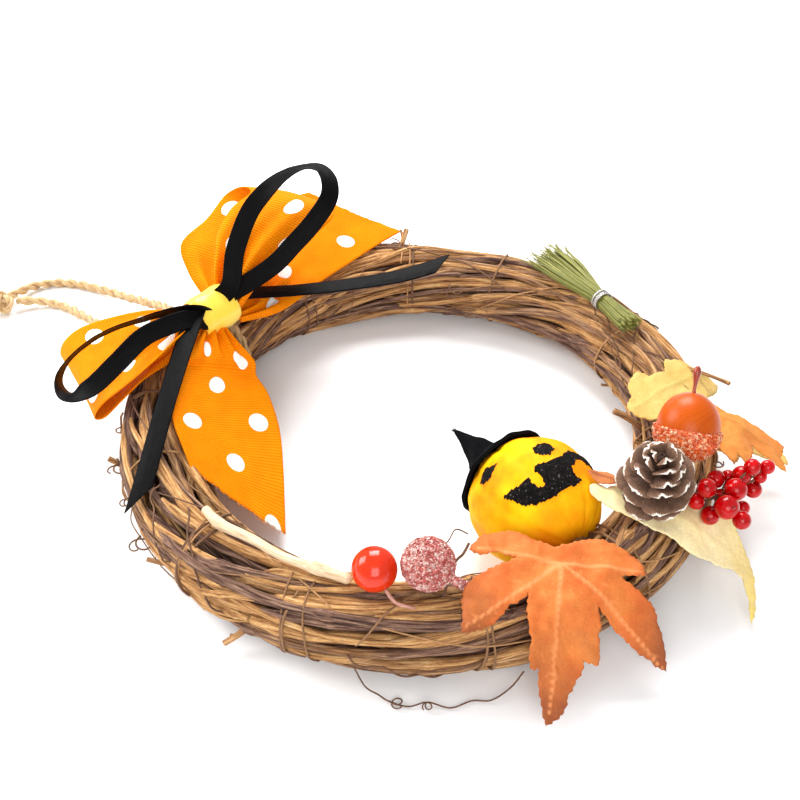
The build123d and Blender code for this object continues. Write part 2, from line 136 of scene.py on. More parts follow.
def carried_frames(path, closed=False):
    """Directions square to the path at each point, carried along it without twist."""
    count = len(path)
    tangents = []
    for i in range(count):
        before = path[i - 1] if closed or i else path[0]
        after = path[(i + 1) % count] if closed or i < count - 1 else path[-1]
        tangents.append((after - before).normalized())
    side = tangents[0].orthogonal().normalized()
    sides = []
    for tangent in tangents:
        side = (side - tangent * side.dot(tangent)).normalized()
        sides.append(side)
    if closed:
        last = (side - tangents[0] * side.dot(tangents[0])).normalized()
        gap = atan2(tangents[0].dot(last.cross(sides[0])), last.dot(sides[0]))
        sides = [Quaternion(t, gap * i / count) @ s for i, (t, s) in enumerate(zip(tangents, sides))]
    return [(t, s, t.cross(s)) for t, s in zip(tangents, sides)]


class Frame:
    """Flat frame: x_dir along it, its normal up from it, and y_dir across it."""

    def __init__(self, origin, x_dir, normal):
        self.origin = Vector(origin)
        self.normal = Vector(normal).normalized()
        x_dir = Vector(x_dir)
        self.x_dir = (x_dir - self.normal * x_dir.dot(self.normal)).normalized()
        self.y_dir = self.normal.cross(self.x_dir)

    def at(self, x, y, up=0.0):
        return self.origin + self.x_dir * x + self.y_dir * y + self.normal * up


# ---- meshes ------------------------------------------------------------------------------------
def flattened(rows):
    return [item for row in rows for item in row]


class Shape:
    """Mesh in the making, in millimetres.

    lay is each point's place on the unrolled surface, and tone a number from 0 to 1 for its look.
    """

    def __init__(self):
        self.points, self.faces, self.lay, self.tone, self.looks = [], [], [], [], []

    def add_points(self, points, lay, tone):
        first = len(self.points)
        self.points += points
        self.lay += lay
        self.tone += tone if isinstance(tone, list) else [tone] * len(points)
        return first

    def add_face(self, face, look=0):
        self.faces.append(face)
        self.looks.append(look)

    def grid(self, rows, lay, tone=0.0, around=False, onward=False):
        """Rows of points joined into quads. around closes each row, onward joins the last to the first."""
        width = len(rows[0])
        tones = flattened(tone) if isinstance(tone, list) else tone
        first = self.add_points(flattened(rows), flattened(lay), tones)
        for i in range(len(rows) if onward else len(rows) - 1):
            here = first + i * width
            there = first + (i + 1) % len(rows) * width
            for j in range(width if around else width - 1):
                k = (j + 1) % width
                self.add_face((here + j, here + k, there + k, there + j))
        return first

    def fan(self, base, sides, point, lay, tone=0.0, flip=False):
        """Closes the row of points that starts at base with triangles to one more point."""
        tip = self.add_points([point], [lay], tone)
        for j in range(sides):
            a, b = base + j, base + (j + 1) % sides
            self.add_face((tip, b, a) if flip else (tip, a, b))

    def lattice(self, rows, columns, place, **joined):
        """Grid from place(row, column), which gives a point and its lay. Returns its rows of points."""
        made = [[place(i, j) for j in range(columns)] for i in range(rows)]
        points, lay = ([[both[k] for both in row] for row in made] for k in (0, 1))
        self.grid(points, lay, **joined)
        return points

    def tube(self, path, radius, sides=8, closed=False, ripple=None, tone=0.0, flat=1.0):
        """Round tube along path. radius is a number or a function of the distance along it."""
        rows, lay = [], []
        along = 0.0
        for i, (point, (_, side, other)) in enumerate(zip(path, carried_frames(path, closed))):
            along += (point - path[i - 1]).length if i else 0
            r = radius(along) if callable(radius) else radius
            row, row_lay = [], []
            for j in range(sides):
                angle = 2 * pi * j / sides
                reach = r * (ripple(angle, along) if ripple else 1)
                row.append(point + side * (reach * cos(angle)) + other * (reach * sin(angle) * flat))
                row_lay.append(Vector((r * cos(angle), r * sin(angle), along)))
            rows.append(row)
            lay.append(row_lay)
        first = self.grid(rows, lay, tone, around=True, onward=closed)
        if not closed:
            for row in (0, len(path) - 1):
                end_lay = Vector((0, 0, lay[row][0].z))
                self.fan(first + row * sides, sides, Vector(path[row]), end_lay, tone, flip=row == 0)

    def ball(self, centre, radius, rings, sides, bend, axis=UP):
        """Closed round form about axis. bend gives the share of radius along a unit direction."""
        first_dir, other = square_frame(axis, Vector((1, 0, 0)))
        axis = axis.normalized()

        def reach(direction):
            return centre + direction * (radius * bend(direction))

        rows, lay = [], []
        for i in range(1, rings):
            lean = pi * i / rings
            row = [
                axis * cos(lean) + round_dir(2 * pi * j / sides, first_dir, other) * sin(lean)
                for j in range(sides)
            ]
            rows.append([reach(d) for d in row])
            lay.append([d * radius for d in row])
        first = self.grid(rows, lay, around=True)
        for row, pole in ((0, axis), (rings - 2, -axis)):
            self.fan(first + row * sides, sides, reach(pole), pole * radius, flip=row > 0)

    def piece(self, name, materials, slot, replaces=None, thickness=0.0, sharp=None):
        """Makes the Blender piece, in metres, rides it on the wreath and hides the CAD part it replaces."""
        mesh = bpy.data.meshes.new(name)
        mesh.from_pydata([p * MM for p in self.points], [], self.faces)
        lay = mesh.attributes.new("lay", "FLOAT_VECTOR", "POINT")
        lay.data.foreach_set("vector", [c for p in self.lay for c in p])
        mesh.attributes.new("tone", "FLOAT", "POINT").data.foreach_set("value", self.tone)
        for look in materials if isinstance(materials, list) else [materials]:
            mesh.materials.append(look)
        mesh.polygons.foreach_set("material_index", self.looks)
        mesh.polygons.foreach_set("use_smooth", [True] * len(self.faces))
        mesh.update()
        made = bpy.data.objects.new(name, mesh)
        bpy.context.scene.collection.objects.link(made)
        if sharp is not None:
            mesh.set_sharp_from_angle(angle=radians(sharp))
        if thickness:
            solid = made.modifiers.new("thickness", "SOLIDIFY")
            solid.thickness = thickness * MM
            solid.offset = 0
        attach(made, "root")
        if replaces:
            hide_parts(replaces)
        return made


# ---- materials ---------------------------------------------------------------------------------
def paint(red, green, blue):
    """Linear colour from 0 to 255 screen values."""
    shares = [c / 255 for c in (red, green, blue)]
    return tuple(c / 12.92 if c <= 10 / 255 else ((c + 0.055) / 1.055) ** 2.4 for c in shares) + (1,)


class Look:
    """A Principled material and short names for the nodes that give it its detail."""

    def __init__(self, name, **values):
        self.material = bpy.data.materials.new(name)
        self.material.use_nodes = True
        self.tree = self.material.node_tree
        self.shader = self.tree.nodes["Principled BSDF"]
        self.height = None
        for socket, value in values.items():
            self.shader.inputs[socket.replace("_", " ")].default_value = value

    def node(self, kind, inputs=(), **settings):
        """Node with values or links for its inputs, by index or name."""
        made = self.tree.nodes.new("ShaderNode" + kind)
        for key, value in settings.items():
            setattr(made, key, value)
        for key, value in dict(inputs).items():
            if isinstance(value, bpy.types.NodeSocket):
                self.tree.links.new(value, made.inputs[key])
            elif value is not None:
                made.inputs[key].default_value = value
        return made

    def scaled(self, vector, scale):
        return self.node("Mapping", {"Vector": vector, "Scale": scale}).outputs[0]

    def lay(self, scale=(1, 1, 1)):
        """Place on the unrolled surface, in millimetres times scale."""
        return self.scaled(self.node("Attribute", attribute_name="lay").outputs["Vector"], scale)

    def place(self, scale=1.0):
        """Place in the wreath's frame, in millimetres times scale."""
        vector = self.node("TexCoord").outputs["Object"]
        return self.scaled(vector, (scale / MM,) * 3)

    def tone(self):
        return self.node("Attribute", attribute_name="tone").outputs["Fac"]

    def noise(self, vector, detail=4.0, roughness=0.6, distortion=0.0):
        inputs = {
            "Vector": vector, "Scale": 1.0, "Detail": detail, "Roughness": roughness,
            "Distortion": distortion,
        }
        return self.node("TexNoise", inputs).outputs["Fac"]

    def cells(self, vector, channel):
        """A random number from 0 to 1 for each cell about 1 wide; channel picks one of three."""
        cells = self.node("TexVoronoi", {"Vector": vector, "Scale": 1.0})
        return self.separate(cells.outputs["Color"])[channel]

    def math(self, operation, a, b=0.0):
        return self.node("Math", {0: a, 1: b}, operation=operation).outputs[0]

    def step(self, value, low, high, to_low=0.0, to_high=1.0):
        """Value from low to high mapped to another range, and held at its ends."""
        inputs = {"Value": value, "From Min": low, "From Max": high, "To Min": to_low, "To Max": to_high}
        return self.node("MapRange", inputs, clamp=True).outputs[0]

    def ramp(self, value, *stops):
        """Colour ramp with (position, screen colour) stops."""
        made = self.node("ValToRGB", {0: value})
        stops_made = made.color_ramp.elements
        while len(stops_made) < len(stops):
            stops_made.new(0.5)
        for element, (position, colour) in zip(stops_made, stops):
            element.position = position
            element.color = paint(*colour)
        return made.outputs[0]

    def mix(self, factor, a, b, blend="MIX"):
        a, b = (paint(*c) if isinstance(c, tuple) else c for c in (a, b))
        made = self.node("Mix", {0: factor, 6: a, 7: b}, data_type="RGBA", blend_type=blend)
        return made.outputs[2]

    def separate(self, vector):
        return self.node("SeparateXYZ", {0: vector}).outputs

    def set(self, **sockets):
        for name, value in sockets.items():
            self.tree.links.new(value, self.shader.inputs[name.replace("_", " ")])

    def bump(self, height, distance, strength):
        """Adds relief of the given depth in millimetres."""
        inputs = {"Height": height, "Distance": distance * MM, "Strength": strength, "Normal": self.height}
        self.height = self.node("Bump", inputs).outputs[0]
        self.tree.links.new(self.height, self.shader.inputs["Normal"])


def grained_look(name, scale, detail, stops, distortion=0.0, relief=None, **values):
    """Look with one grain: scale is its three scales on the unrolled surface, or one in space."""
    look = Look(name, **values)
    where = look.lay(scale) if isinstance(scale, tuple) else look.place(scale)
    grain = look.noise(where, detail=detail, distortion=distortion)
    look.set(Base_Color=look.ramp(grain, *stops))
    if relief:
        look.bump(grain, *relief)
    return look.material


def speckled_look(name, scale, channel, stops, relief=None, **values):
    """Look whose colour and relief change from one small cell to the next."""
    look = Look(name, **values)
    speck = look.cells(look.place(scale), channel)
    look.set(Base_Color=look.ramp(speck, *stops))
    if relief:
        look.bump(speck, *relief)
    return look.material


# ---- camera, light and floor -------------------------------------------------------------------
scene = bpy.context.scene
scene.view_settings.view_transform = "Standard"

CAMERA_PLACE = Vector((-273.1, -150.8, 294.0))
CAMERA_TARGET = Vector((21.95, 19.58, 0.0))
lens = bpy.data.cameras.new("camera")
lens.lens = 55.63
lens.sensor_width = 36.0
lens.clip_start = 0.01
lens.clip_end = 20.0
camera = bpy.data.objects.new("camera", lens)
camera.location = CAMERA_PLACE * MM
camera.rotation_euler = (CAMERA_TARGET - CAMERA_PLACE).to_track_quat("-Z", "Y").to_euler()
scene.collection.objects.link(camera)
scene.camera = camera


def softbox(name, place, target, size, power):
    """Square area light, with its place and target in millimetres."""
    data = bpy.data.lights.new(name, "AREA")
    data.shape = "SQUARE"
    data.size = size * MM
    data.energy = power
    made = bpy.data.objects.new(name, data)
    made.location = Vector(place) * MM
    made.rotation_euler = (Vector(target) - Vector(place)).to_track_quat("-Z", "Y").to_euler()
    scene.collection.objects.link(made)


softbox("key_light", (420, 260, 620), (0, 0, 0), 420, 8.2)
softbox("side_light", (-180, 560, 420), (0, 0, 10), 380, 4.4)
softbox("front_light", (-520, -330, 380), (0, 0, 10), 420, 2.8)

world = bpy.data.worlds.new("studio")
world.use_nodes = True
world.node_tree.nodes["Background"].inputs["Color"].default_value = (1.0, 1.0, 1.0, 1)
world.node_tree.nodes["Background"].inputs["Strength"].default_value = 0.66
scene.world = world

FLOOR_HALF = 1500.0
FLOOR_HEIGHT = -0.02
floor_corners = [(x * FLOOR_HALF, y * FLOOR_HALF) for x, y in ((-1, -1), (1, -1), (1, 1), (-1, 1))]
floor_mesh = bpy.data.meshes.new("floor")
floor_mesh.from_pydata([Vector((x, y, FLOOR_HEIGHT)) * MM for x, y in floor_corners], [], [(0, 1, 2, 3)])
floor_piece = bpy.data.objects.new("floor", floor_mesh)
scene.collection.objects.link(floor_piece)
floor_stops = ((0, (246, 246, 247)), (1, (250, 250, 250)))
floor_mesh.materials.append(grained_look("floor_paper", 0.02, 4.0, floor_stops, Roughness=0.85))

# ---- the twine hanger: two cords, their knot and the turns round the ring -----------------------
jute = Look("jute_twine", Roughness=0.9)
jute_grain = jute.noise(jute.lay((4.5, 4.5, 0.35)), detail=5, distortion=0.6)
jute.set(Base_Color=jute.mix(
    jute.step(jute.noise(jute.place(0.35), detail=3), 0.35, 0.7, 0.0, 0.55),
    jute.ramp(jute_grain, (0.3, (120, 88, 52)), (0.5, (192, 154, 104)), (0.68, (228, 198, 150))),
    (233, 208, 164),
))
jute.bump(jute_grain, 0.35, 0.9)
JUTE = jute.material

UPPER_ROUTE = (
    (3, 102.5, 19.5), (8.5, 113, 15.5), (13, 124, 10.5), (16.5, 137, 6), (18.5, 151, 3), (18, 165, 1.9),
    (14, 177, 1.8), (5, 183.5, 2.2), (-6, 183, 4.4),
)
LOWER_ROUTE = (
    (-3, 102.5, 19.5), (-5.5, 113, 14.5), (-6, 125, 9.5), (-3.5, 138, 5.6), (0.5, 150, 3.2), (3, 161.5, 2),
    (1, 172, 2.4), (-6, 178.5, 4.2),
)
KNOT_CENTRE = Vector((-11, 181, 5.6))


def spline_points(route):
    """Points in millimetres on the smooth NURBS line whose control points are the route's."""
    curve = bpy.data.curves.new("route", "CURVE")
    curve.dimensions = "3D"
    curve.resolution_u = 14
    spline = curve.splines.new("NURBS")
    spline.points.add(len(route) - 1)
    for knot, point in zip(spline.points, route):
        knot.co = (*(Vector(point) * MM), 1.0)
    spline.order_u = 3
    spline.use_endpoint_u = True
    carrier = bpy.data.objects.new("route", curve)
    line = bpy.data.meshes.new_from_object(carrier)
    points = [v.co / MM for v in line.vertices]
    bpy.data.objects.remove(carrier)
    bpy.data.curves.remove(curve)
    bpy.data.meshes.remove(line)
    return points


def resample(points, step):
    """Points about step apart along straight runs between the given ones."""
    marks = [0.0]
    for a, b in zip(points, points[1:]):
        marks.append(marks[-1] + (b - a).length)
    count = max(3, round(marks[-1] / step))
    made, index = [], 0
    for i in range(count + 1):
        mark = marks[-1] * i / count
        while index < len(points) - 2 and marks[index + 1] < mark:
            index += 1
        share = (mark - marks[index]) / max(marks[index + 1] - marks[index], 1e-9)
        made.append(points[index].lerp(points[index + 1], clamp(share)))
    return made


TWINE_STEP = 0.55
TWINE_PITCH = 10.5
HAIRS_PER_MM = 3.2
HAIR_FLOOR = 0.12
HAIR_SHARES = (0, 0.25, 0.5, 0.75, 1)


def twine(shape, path, seed, thickness=TWINE_DIAMETER, hair_shape=None):
    """Two twisted plies along path, each lumpy, with loose fibres that stand off them."""
    hair_shape = hair_shape or shape
    chance = random.Random(seed)
    path = resample(path, TWINE_STEP)
    frames = carried_frames(path)
    ply_radius = thickness * 0.275
    for ply in (0, 1):
        line = []
        for i, (point, (_, side, other)) in enumerate(zip(path, frames)):
            turn = 2 * pi * (TWINE_STEP * i / TWINE_PITCH + ply / 2) + 0.25 * sway(i * 0.03, seed)
            reach = ply_radius * (0.86 + 0.12 * sway(i * 0.05, seed, ply))
            line.append(point + side * (reach * cos(turn)) + other * (reach * sin(turn)))
        shape.tube(
            line,
            lambda s, k=ply: ply_radius * (1.06 + 0.16 * sway(s * 0.22, seed + 5 * k)),
            ripple=lambda a, s, k=ply: 1 + 0.1 * sway(2 * cos(a), 2 * sin(a), s * 0.5 + 9 * k),
        )
    for _ in range(int(len(path) * TWINE_STEP * HAIRS_PER_MM)):
        index = chance.randrange(2, len(path) - 2)
        along, side, other = frames[index]
        turn = chance.uniform(0, 2 * pi)
        outwards = round_dir(turn, side, other)
        sideways = outwards.cross(along)
        root = path[index] + outwards * (thickness * 0.36)
        length = chance.uniform(1.5, 6.0)
        lift = chance.uniform(0.08, 0.7)
        heading = along * chance.choice((-1, 1))
        bend = chance.uniform(-1, 1)
        hair = []
        for t in HAIR_SHARES:
            point = root + heading * (length * t) + outwards * (lift * length * t * (1 - 0.45 * t))
            point += sideways * (bend * length * 0.3 * t * t)
            point.z = max(point.z, HAIR_FLOOR)
            hair.append(point)
        hair_shape.tube(hair, lambda s, n=length: 0.06 * (1.1 - 0.6 * clamp(s / n)), sides=3)


def frayed_end(shape, point, heading, seed, count, length, spread):
    """Loose fibres at a cut end."""
    chance = random.Random(seed)
    heading = heading.normalized()
    first, second = square_frame(heading)
    for _ in range(count):
        turn = chance.uniform(0, 2 * pi)
        aside = round_dir(turn, first, second)
        reach = length * chance.uniform(0.45, 1.0)
        start = point + aside * chance.uniform(0, 1.2) - heading * 0.8
        hair = [start + heading * (reach * t) + aside * (spread * reach * t * t) for t in HAIR_SHARES]
        for place in hair:
            place.z = max(place.z, HAIR_FLOOR)
        shape.tube(hair, 0.09, sides=3)


upper_line = spline_points(UPPER_ROUTE)
lower_line = spline_points(LOWER_ROUTE)
strands, fibres = [], []
for name, line, seed in (("hanger_twine_upper", upper_line, 3), ("hanger_twine_lower", lower_line, 8)):
    strand_shape, fibre_shape = Shape(), Shape()
    twine(strand_shape, line, seed, hair_shape=fibre_shape)
    strands.append(strand_shape.piece(name, JUTE, "jute_twine", name.replace("twine", "strand")))
    fibres.append(fibre_shape.piece(name + "_fibres", JUTE, "jute_twine"))

knot_shape = Shape()
knot_line = []
for i in range(60):
    t = 2 * pi * i / 60 * 0.97
    swirl = Vector((sin(t) + 2 * sin(2 * t), cos(t) - 2 * cos(2 * t), -1.5 * sin(3 * t)))
    knot_line.append(KNOT_CENTRE + Vector((swirl.x * 1.25, swirl.y * 1.3, swirl.z * 1.3)))
twine(knot_shape, knot_line, 21, thickness=3.1)
for seed, tail_end in ((31, Vector((-24, 196, 1.9))), (32, Vector((-17, 201, 1.9)))):
    middle = KNOT_CENTRE.lerp(tail_end, 0.5) + Vector((1.2, 0.4, 0.8)) * (1 if seed == 31 else -1)
    middle.z = max(middle.z, 2.2)
    tail_line = smooth_path([KNOT_CENTRE + Vector((0, 1, -1.8)), middle, tail_end], 0.8)
    twine(knot_shape, tail_line, seed, thickness=3.0)
    frayed_end(knot_shape, tail_end, tail_end - middle, seed, count=34, length=5.0, spread=0.4)
knot = knot_shape.piece("hanger_twine_knot", JUTE, "jute_twine", "hanger_knot")

[c * MM for c in UPPER_ROUTE[0]]
[c * MM for c in LOWER_ROUTE[0]]


def ring_section(angle, turn, reach):
    """Point round the vine bundle: turn 0 is outwards, 90 is up, reach is from the bundle's centre."""
    centre = spot(angle, CENTRE_LINE_RADIUS, RING_HEIGHT)
    return centre + spot(angle, 1, 0) * (reach * cos(radians(turn))) + UP * (reach * sin(radians(turn)))


# Turns of twine round the ring: seed, angle, lean, and where on the section each starts and ends.
wrap_shape = Shape()
for seed, angle, lean, ends in ((41, 88.6, 2.0, (12, 262)), (42, 91.6, -1.5, (10, 258))):
    coil = []
    for i in range(70):
        share = i / 69
        turn = ends[0] + (ends[1] - ends[0]) * share
        coil.append(ring_section(angle + lean * (share - 0.5), turn, 14.9 + 0.5 * sway(share * 5, seed)))
    coil = [p for p in coil if p.z > 2.0]
    twine(wrap_shape, coil, seed, thickness=3.2)
wrap_shape.piece("hanger_twine_wrap", JUTE, "jute_twine", "hanger_ring_wrap")

# ---- the vines ---------------------------------------------------------------------------------
bark = Look("vine_bark", Roughness=0.9, Specular_IOR_Level=0.2)
bark_grain = bark.noise(bark.lay((1.5, 1.5, 0.09)), detail=5, roughness=0.55, distortion=0.4)
bark_fine = bark.noise(bark.lay((8, 8, 0.7)), detail=3)
bark_drift = bark.math("MULTIPLY", bark.noise(bark.lay((0.25, 0.25, 0.035)), detail=3), 1.1)
bark_share = bark.step(bark.math("ADD", bark.tone(), bark_drift), 0.78, 1.2)
bark_tan = bark.ramp(
    bark_grain, (0.3, (92, 58, 34)), (0.42, (170, 120, 74)), (0.58, (216, 166, 108)), (0.76, (240, 204, 152))
)
bark_grey = bark.ramp(
    bark_grain, (0.3, (50, 33, 29)), (0.45, (100, 72, 60)), (0.6, (150, 116, 96)), (0.76, (190, 158, 132))
)
bark_colour = bark.mix(bark_share, bark_tan, bark_grey)
bark_shade = bark.step(bark_fine, 0.35, 0.75, 0.0, 0.55)
bark.set(Base_Color=bark.mix(bark_shade, bark_colour, (70, 44, 30), "MULTIPLY"))
bark.bump(bark_grain, 0.5, 0.9)
bark.bump(bark_fine, 0.15, 0.7)
BARK = bark.material


TURN_POINTS = 480


def vine(shape, path, radius, seed, rough, tone, closed=False, tips=0.0, sides=16):
    """Woody stem along path with swollen nodes, lengthwise ridges and its own thickness changes."""
    chance = random.Random(seed)
    length = run_length(path)
    knots, place = [], chance.uniform(5, 40)
    while place < length:
        knots.append((place, chance.uniform(0.15, 0.45), chance.uniform(1.6, 3.2)))
        place += chance.uniform(30, 62)

    def thickness(s):
        swell = sum(height * exp(-(((s - place) / wide) ** 2)) for place, height, wide in knots)
        made = radius * (1 + 0.13 * sway(s / 26, seed)) * (1 + swell)
        if tips and not closed:
            made *= clamp(0.35 + min(s, length - s) / tips, 0.3, 1)
        return made

    def ridges(angle, s):
        lean = angle + s * 0.012
        made = 1 + rough * 0.5 * sway(1.3 * cos(lean), 1.3 * sin(lean), s * 0.045 + seed)
        return made + rough * 0.45 * sway(3.1 * cos(lean), 3.1 * sin(lean), s * 0.11 + seed)

    shape.tube(path, thickness, sides=sides, closed=closed, ripple=ridges, tone=tone)


def turn_line(distance, direction, seed, wander):
    """Line of one vine turn: a tilted circle that goes once round the bundle, with its own wander."""
    offset = spot(direction, 1, 0)
    tilt = atan2(distance, RING_RADIUS)
    second = UP.cross(offset) * cos(tilt) + UP * sin(tilt)
    radius = hypot(RING_RADIUS, distance)
    line = []
    for i in range(TURN_POINTS):
        t = 2 * pi * i / TURN_POINTS
        point = offset * distance + UP * RING_HEIGHT + round_dir(t, offset, second) * radius
        outwards = Vector((point.x, point.y, 0)).normalized()
        wave = (2.9 * cos(t), 2.9 * sin(t))
        kink = (9 * cos(t), 9 * sin(t))
        point += outwards * (wander * sway(*wave, seed) + 0.25 * wander * sway(*kink, seed))
        point += UP * (0.8 * wander * sway(*wave, seed + 40) + 0.25 * wander * sway(*kink, seed + 70))
        point.z = max(point.z, 1.8)
        line.append(point)
    return line


turn_places = [(0.0, 0.0)] + [(STRAND_PITCH, 60 * i) for i in range(6)]
for i in range(6):
    turn_places += [(2 * STRAND_PITCH, 60 * i), (sqrt(3) * STRAND_PITCH, 60 * i + 30)]
VINE_RADII = (1.8, 1.35, 1.6, 2.0, 1.25, 1.5, 1.7)
VINE_TONES = (0.1, 0.75, 0.35, 0.9, 0.05, 0.6, 0.25, 0.8, 0.0, 0.5)
for number, (distance, direction) in enumerate(turn_places, start=1):
    outer = number > 7
    vine_shape = Shape()
    vine(
        vine_shape,
        turn_line(distance + (0.2 if outer else 0), direction, number, 1.6 if outer else 0.7),
        VINE_RADII[number % len(VINE_RADII)] + (0.0 if outer else 0.1),
        seed=number,
        rough=0.13 if number % 3 else 0.2,
        tone=VINE_TONES[number % len(VINE_TONES)],
        closed=True,
    )
    vine_shape.piece(f"vine_{number:02d}", BARK, "vine_bark", f"vine_turn_{number:02d}")


def groove_line(start, end, phase, seed, cross_at):
    """Line of a thinner vine that lies in a groove of the bundle, and may cross over to the next one."""
    def place(share):
        angle = start + (end - start) * share
        turn = angle - phase + 7 * sway(angle * 0.035, seed)
        out = 11.1 + 0.5 * sway(angle * 0.05, seed + 11)
        if cross_at is not None:
            passed = ease((angle - cross_at) / 24)
            turn += 30 * passed
            out += 2.1 * sin(pi * passed)
        out += 1.6 * ease((share - 0.9) / 0.1) + 0.8 * ease((0.07 - share) / 0.07)
        return ring_section(angle, turn, out)

    return traced(max(12, int((end - start) * 0.8)), place, 1.0)


# Each thinner vine: start and end angle, the groove it lies in, where it crosses over, its radius, its tone.
GROOVE_VINES = (
    (10, 172, 15, 96, 1.25, 0.2), (118, 330, 45, None, 1.0, 0.7), (150, 262, 75, 205, 1.35, 0.1),
    (205, 372, 105, 300, 1.1, 0.45), (-40, 120, 135, 30, 1.2, 0.8), (60, 232, 165, 160, 1.0, 0.15),
    (175, 318, 195, 250, 1.3, 0.6), (250, 452, 225, None, 1.15, 0.25), (20, 190, 255, 70, 1.0, 0.9),
    (140, 300, 285, 180, 1.2, 0.3), (-60, 92, 315, 20, 1.1, 0.05), (100, 285, 345, 222, 1.05, 0.5),
    (185, 290, 120, 236, 0.9, 0.0), (-20, 75, 60, None, 1.4, 0.4), (300, 420, 0, 350, 1.0, 0.1),
    (182, 300, 150, None, 1.3, 0.85), (176, 250, 98, 228, 0.95, 0.15), (205, 285, 178, 240, 1.1, 0.35),
)
groove_shape = Shape()
for seed, (start, end, phase, cross_at, radius, tone) in enumerate(GROOVE_VINES, start=60):
    line = groove_line(start, end, phase, seed, cross_at)
    vine(groove_shape, line, radius, seed=seed, rough=0.22, tone=tone, tips=10)
groove_shape.piece("thin_vines", BARK, "vine_bark")


def rambling_line(chance, seed):
    """Line of a loose thin vine that drifts round the bundle's outside and dips in at both ends."""
    start = chance.uniform(0, 360)
    sweep = chance.uniform(60, 210)
    drift = chance.uniform(-0.8, 0.8)
    first_turn = chance.uniform(-60, 240)
    out = chance.uniform(10.9, 12.6)

    def place(share):
        angle = start + sweep * share
        turn = first_turn + (1 + drift) * sweep * share * 0.9 + 14 * sway(angle * 0.03, seed)
        dip = 3.0 * (ease((share - 0.93) / 0.07) + ease((0.07 - share) / 0.07))
        return ring_section(angle, turn, out + 0.9 * sway(angle * 0.045, seed + 3) - dip)

    return traced(int(sweep * 0.9), place, 0.9)


RAMBLING_TONES = (0.0, 0.15, 0.3, 0.5, 0.8, 0.95)
for batch in range(4):
    chance = random.Random(200 + batch)
    rambling_shape = Shape()
    for k in range(20):
        seed = 210 + 20 * batch + k
        line = rambling_line(chance, seed)
        radius = chance.choice((0.6, 0.8, 1.0, 1.15, 1.35, 1.6))
        tone = chance.choice(RAMBLING_TONES)
        vine(rambling_shape, line, radius, seed, rough=0.14, tone=tone, tips=8, sides=10)
    rambling_shape.piece(f"rambling_vines_{batch + 1}", BARK, "vine_bark")

PALE_VINE = grained_look(
    "stripped_vine", (3, 3, 0.15), 5,
    ((0.3, (176, 142, 104)), (0.5, (216, 188, 150)), (0.7, (234, 214, 186))),
    distortion=0.3, relief=(0.25, 0.6), Roughness=0.6,
)
PALE_ROUTE = (
    (160, 84.0, 29.0), (166, 84.6, 29.4), (174, 83.0, 29.6), (182, 83.8, 29.6), (190, 83.6, 29.4),
    (196.5, 84.0, 28.4),
)
pale_shape = Shape()
pale_line = smooth_path([spot(*place) for place in PALE_ROUTE], 0.9)
vine(pale_shape, pale_line, 1.45, seed=91, rough=0.12, tone=0.0, tips=1.5)
pale_shape.piece("pale_vine_stem", PALE_VINE, "stripped_vine", "pale_vine")

# ---- tendrils that bind the vines, broken ends and loose curls -----------------------------------
tendril = Look("tendril_bark", Roughness=0.75)
tendril_grain = tendril.noise(tendril.lay((5, 5, 0.4)), detail=4)
tendril.set(Base_Color=tendril.mix(
    tendril.tone(),
    tendril.ramp(tendril_grain, (0.3, (48, 28, 18)), (0.6, (108, 72, 48))),
    tendril.ramp(tendril_grain, (0.3, (120, 80, 44)), (0.6, (188, 140, 90))),
))
tendril.bump(tendril_grain, 0.2, 0.7)
TENDRIL = tendril.material

ties_shape = Shape()
for seed, tie_angle in enumerate(TIE_ANGLES, start=100):
    chance = random.Random(seed)
    for lap in range(chance.choice((1, 2, 2))):
        lean = chance.uniform(-7, 7)
        first_turn = chance.uniform(0, 360)
        sweep = 360 + chance.uniform(0, 200)
        radius = chance.uniform(0.28, 0.5)

        def round_bundle(share):
            turn = first_turn + sweep * share
            end_lift = 1.4 * exp(-((min(share, 1 - share) / 0.035) ** 2))
            angle = tie_angle + lap * 1.4 + lean * (share - 0.5) + 1.0 * sway(turn * 0.012, seed + 7 * lap)
            return ring_section(angle, turn, BUNDLE_RADIUS + 0.55 * sway(turn * 0.02, seed + lap) + end_lift)

        line = traced(int(sweep / 4), round_bundle, 0.7)
        ties_shape.tube(line, radius, sides=7, tone=chance.choice((0.1, 0.4, 0.9)),
                        ripple=lambda a, s, k=seed: 1 + 0.2 * sway(cos(a), sin(a), s * 0.3 + k))
for seed in range(300, 350):
    chance = random.Random(seed)
    start_angle, first_turn = chance.uniform(0, 360), chance.uniform(-20, 200)
    lean, sweep = chance.uniform(12, 60), chance.choice((-1, 1)) * chance.uniform(50, 170)
    radius = chance.uniform(0.16, 0.34)

    def over_bundle(share):
        turn = first_turn + sweep * share + 9 * sway(share * 3, seed)
        hop = 1.1 * abs(sway(share * 4, seed + 2)) - 1.6 * exp(-((min(share, 1 - share) / 0.05) ** 2))
        angle = start_angle + lean * share + 2 * sway(share * 2, seed + 5)
        return ring_section(angle, turn, BUNDLE_RADIUS + 0.1 + hop)

    line = smooth_path(traced(40, over_bundle, 0.6), 0.8)
    ties_shape.tube(line, radius, sides=6, tone=chance.choice((0.0, 0.1, 0.4, 0.9)))
ties_shape.piece("binding_tendrils", TENDRIL, "tendril", "bark_ties")


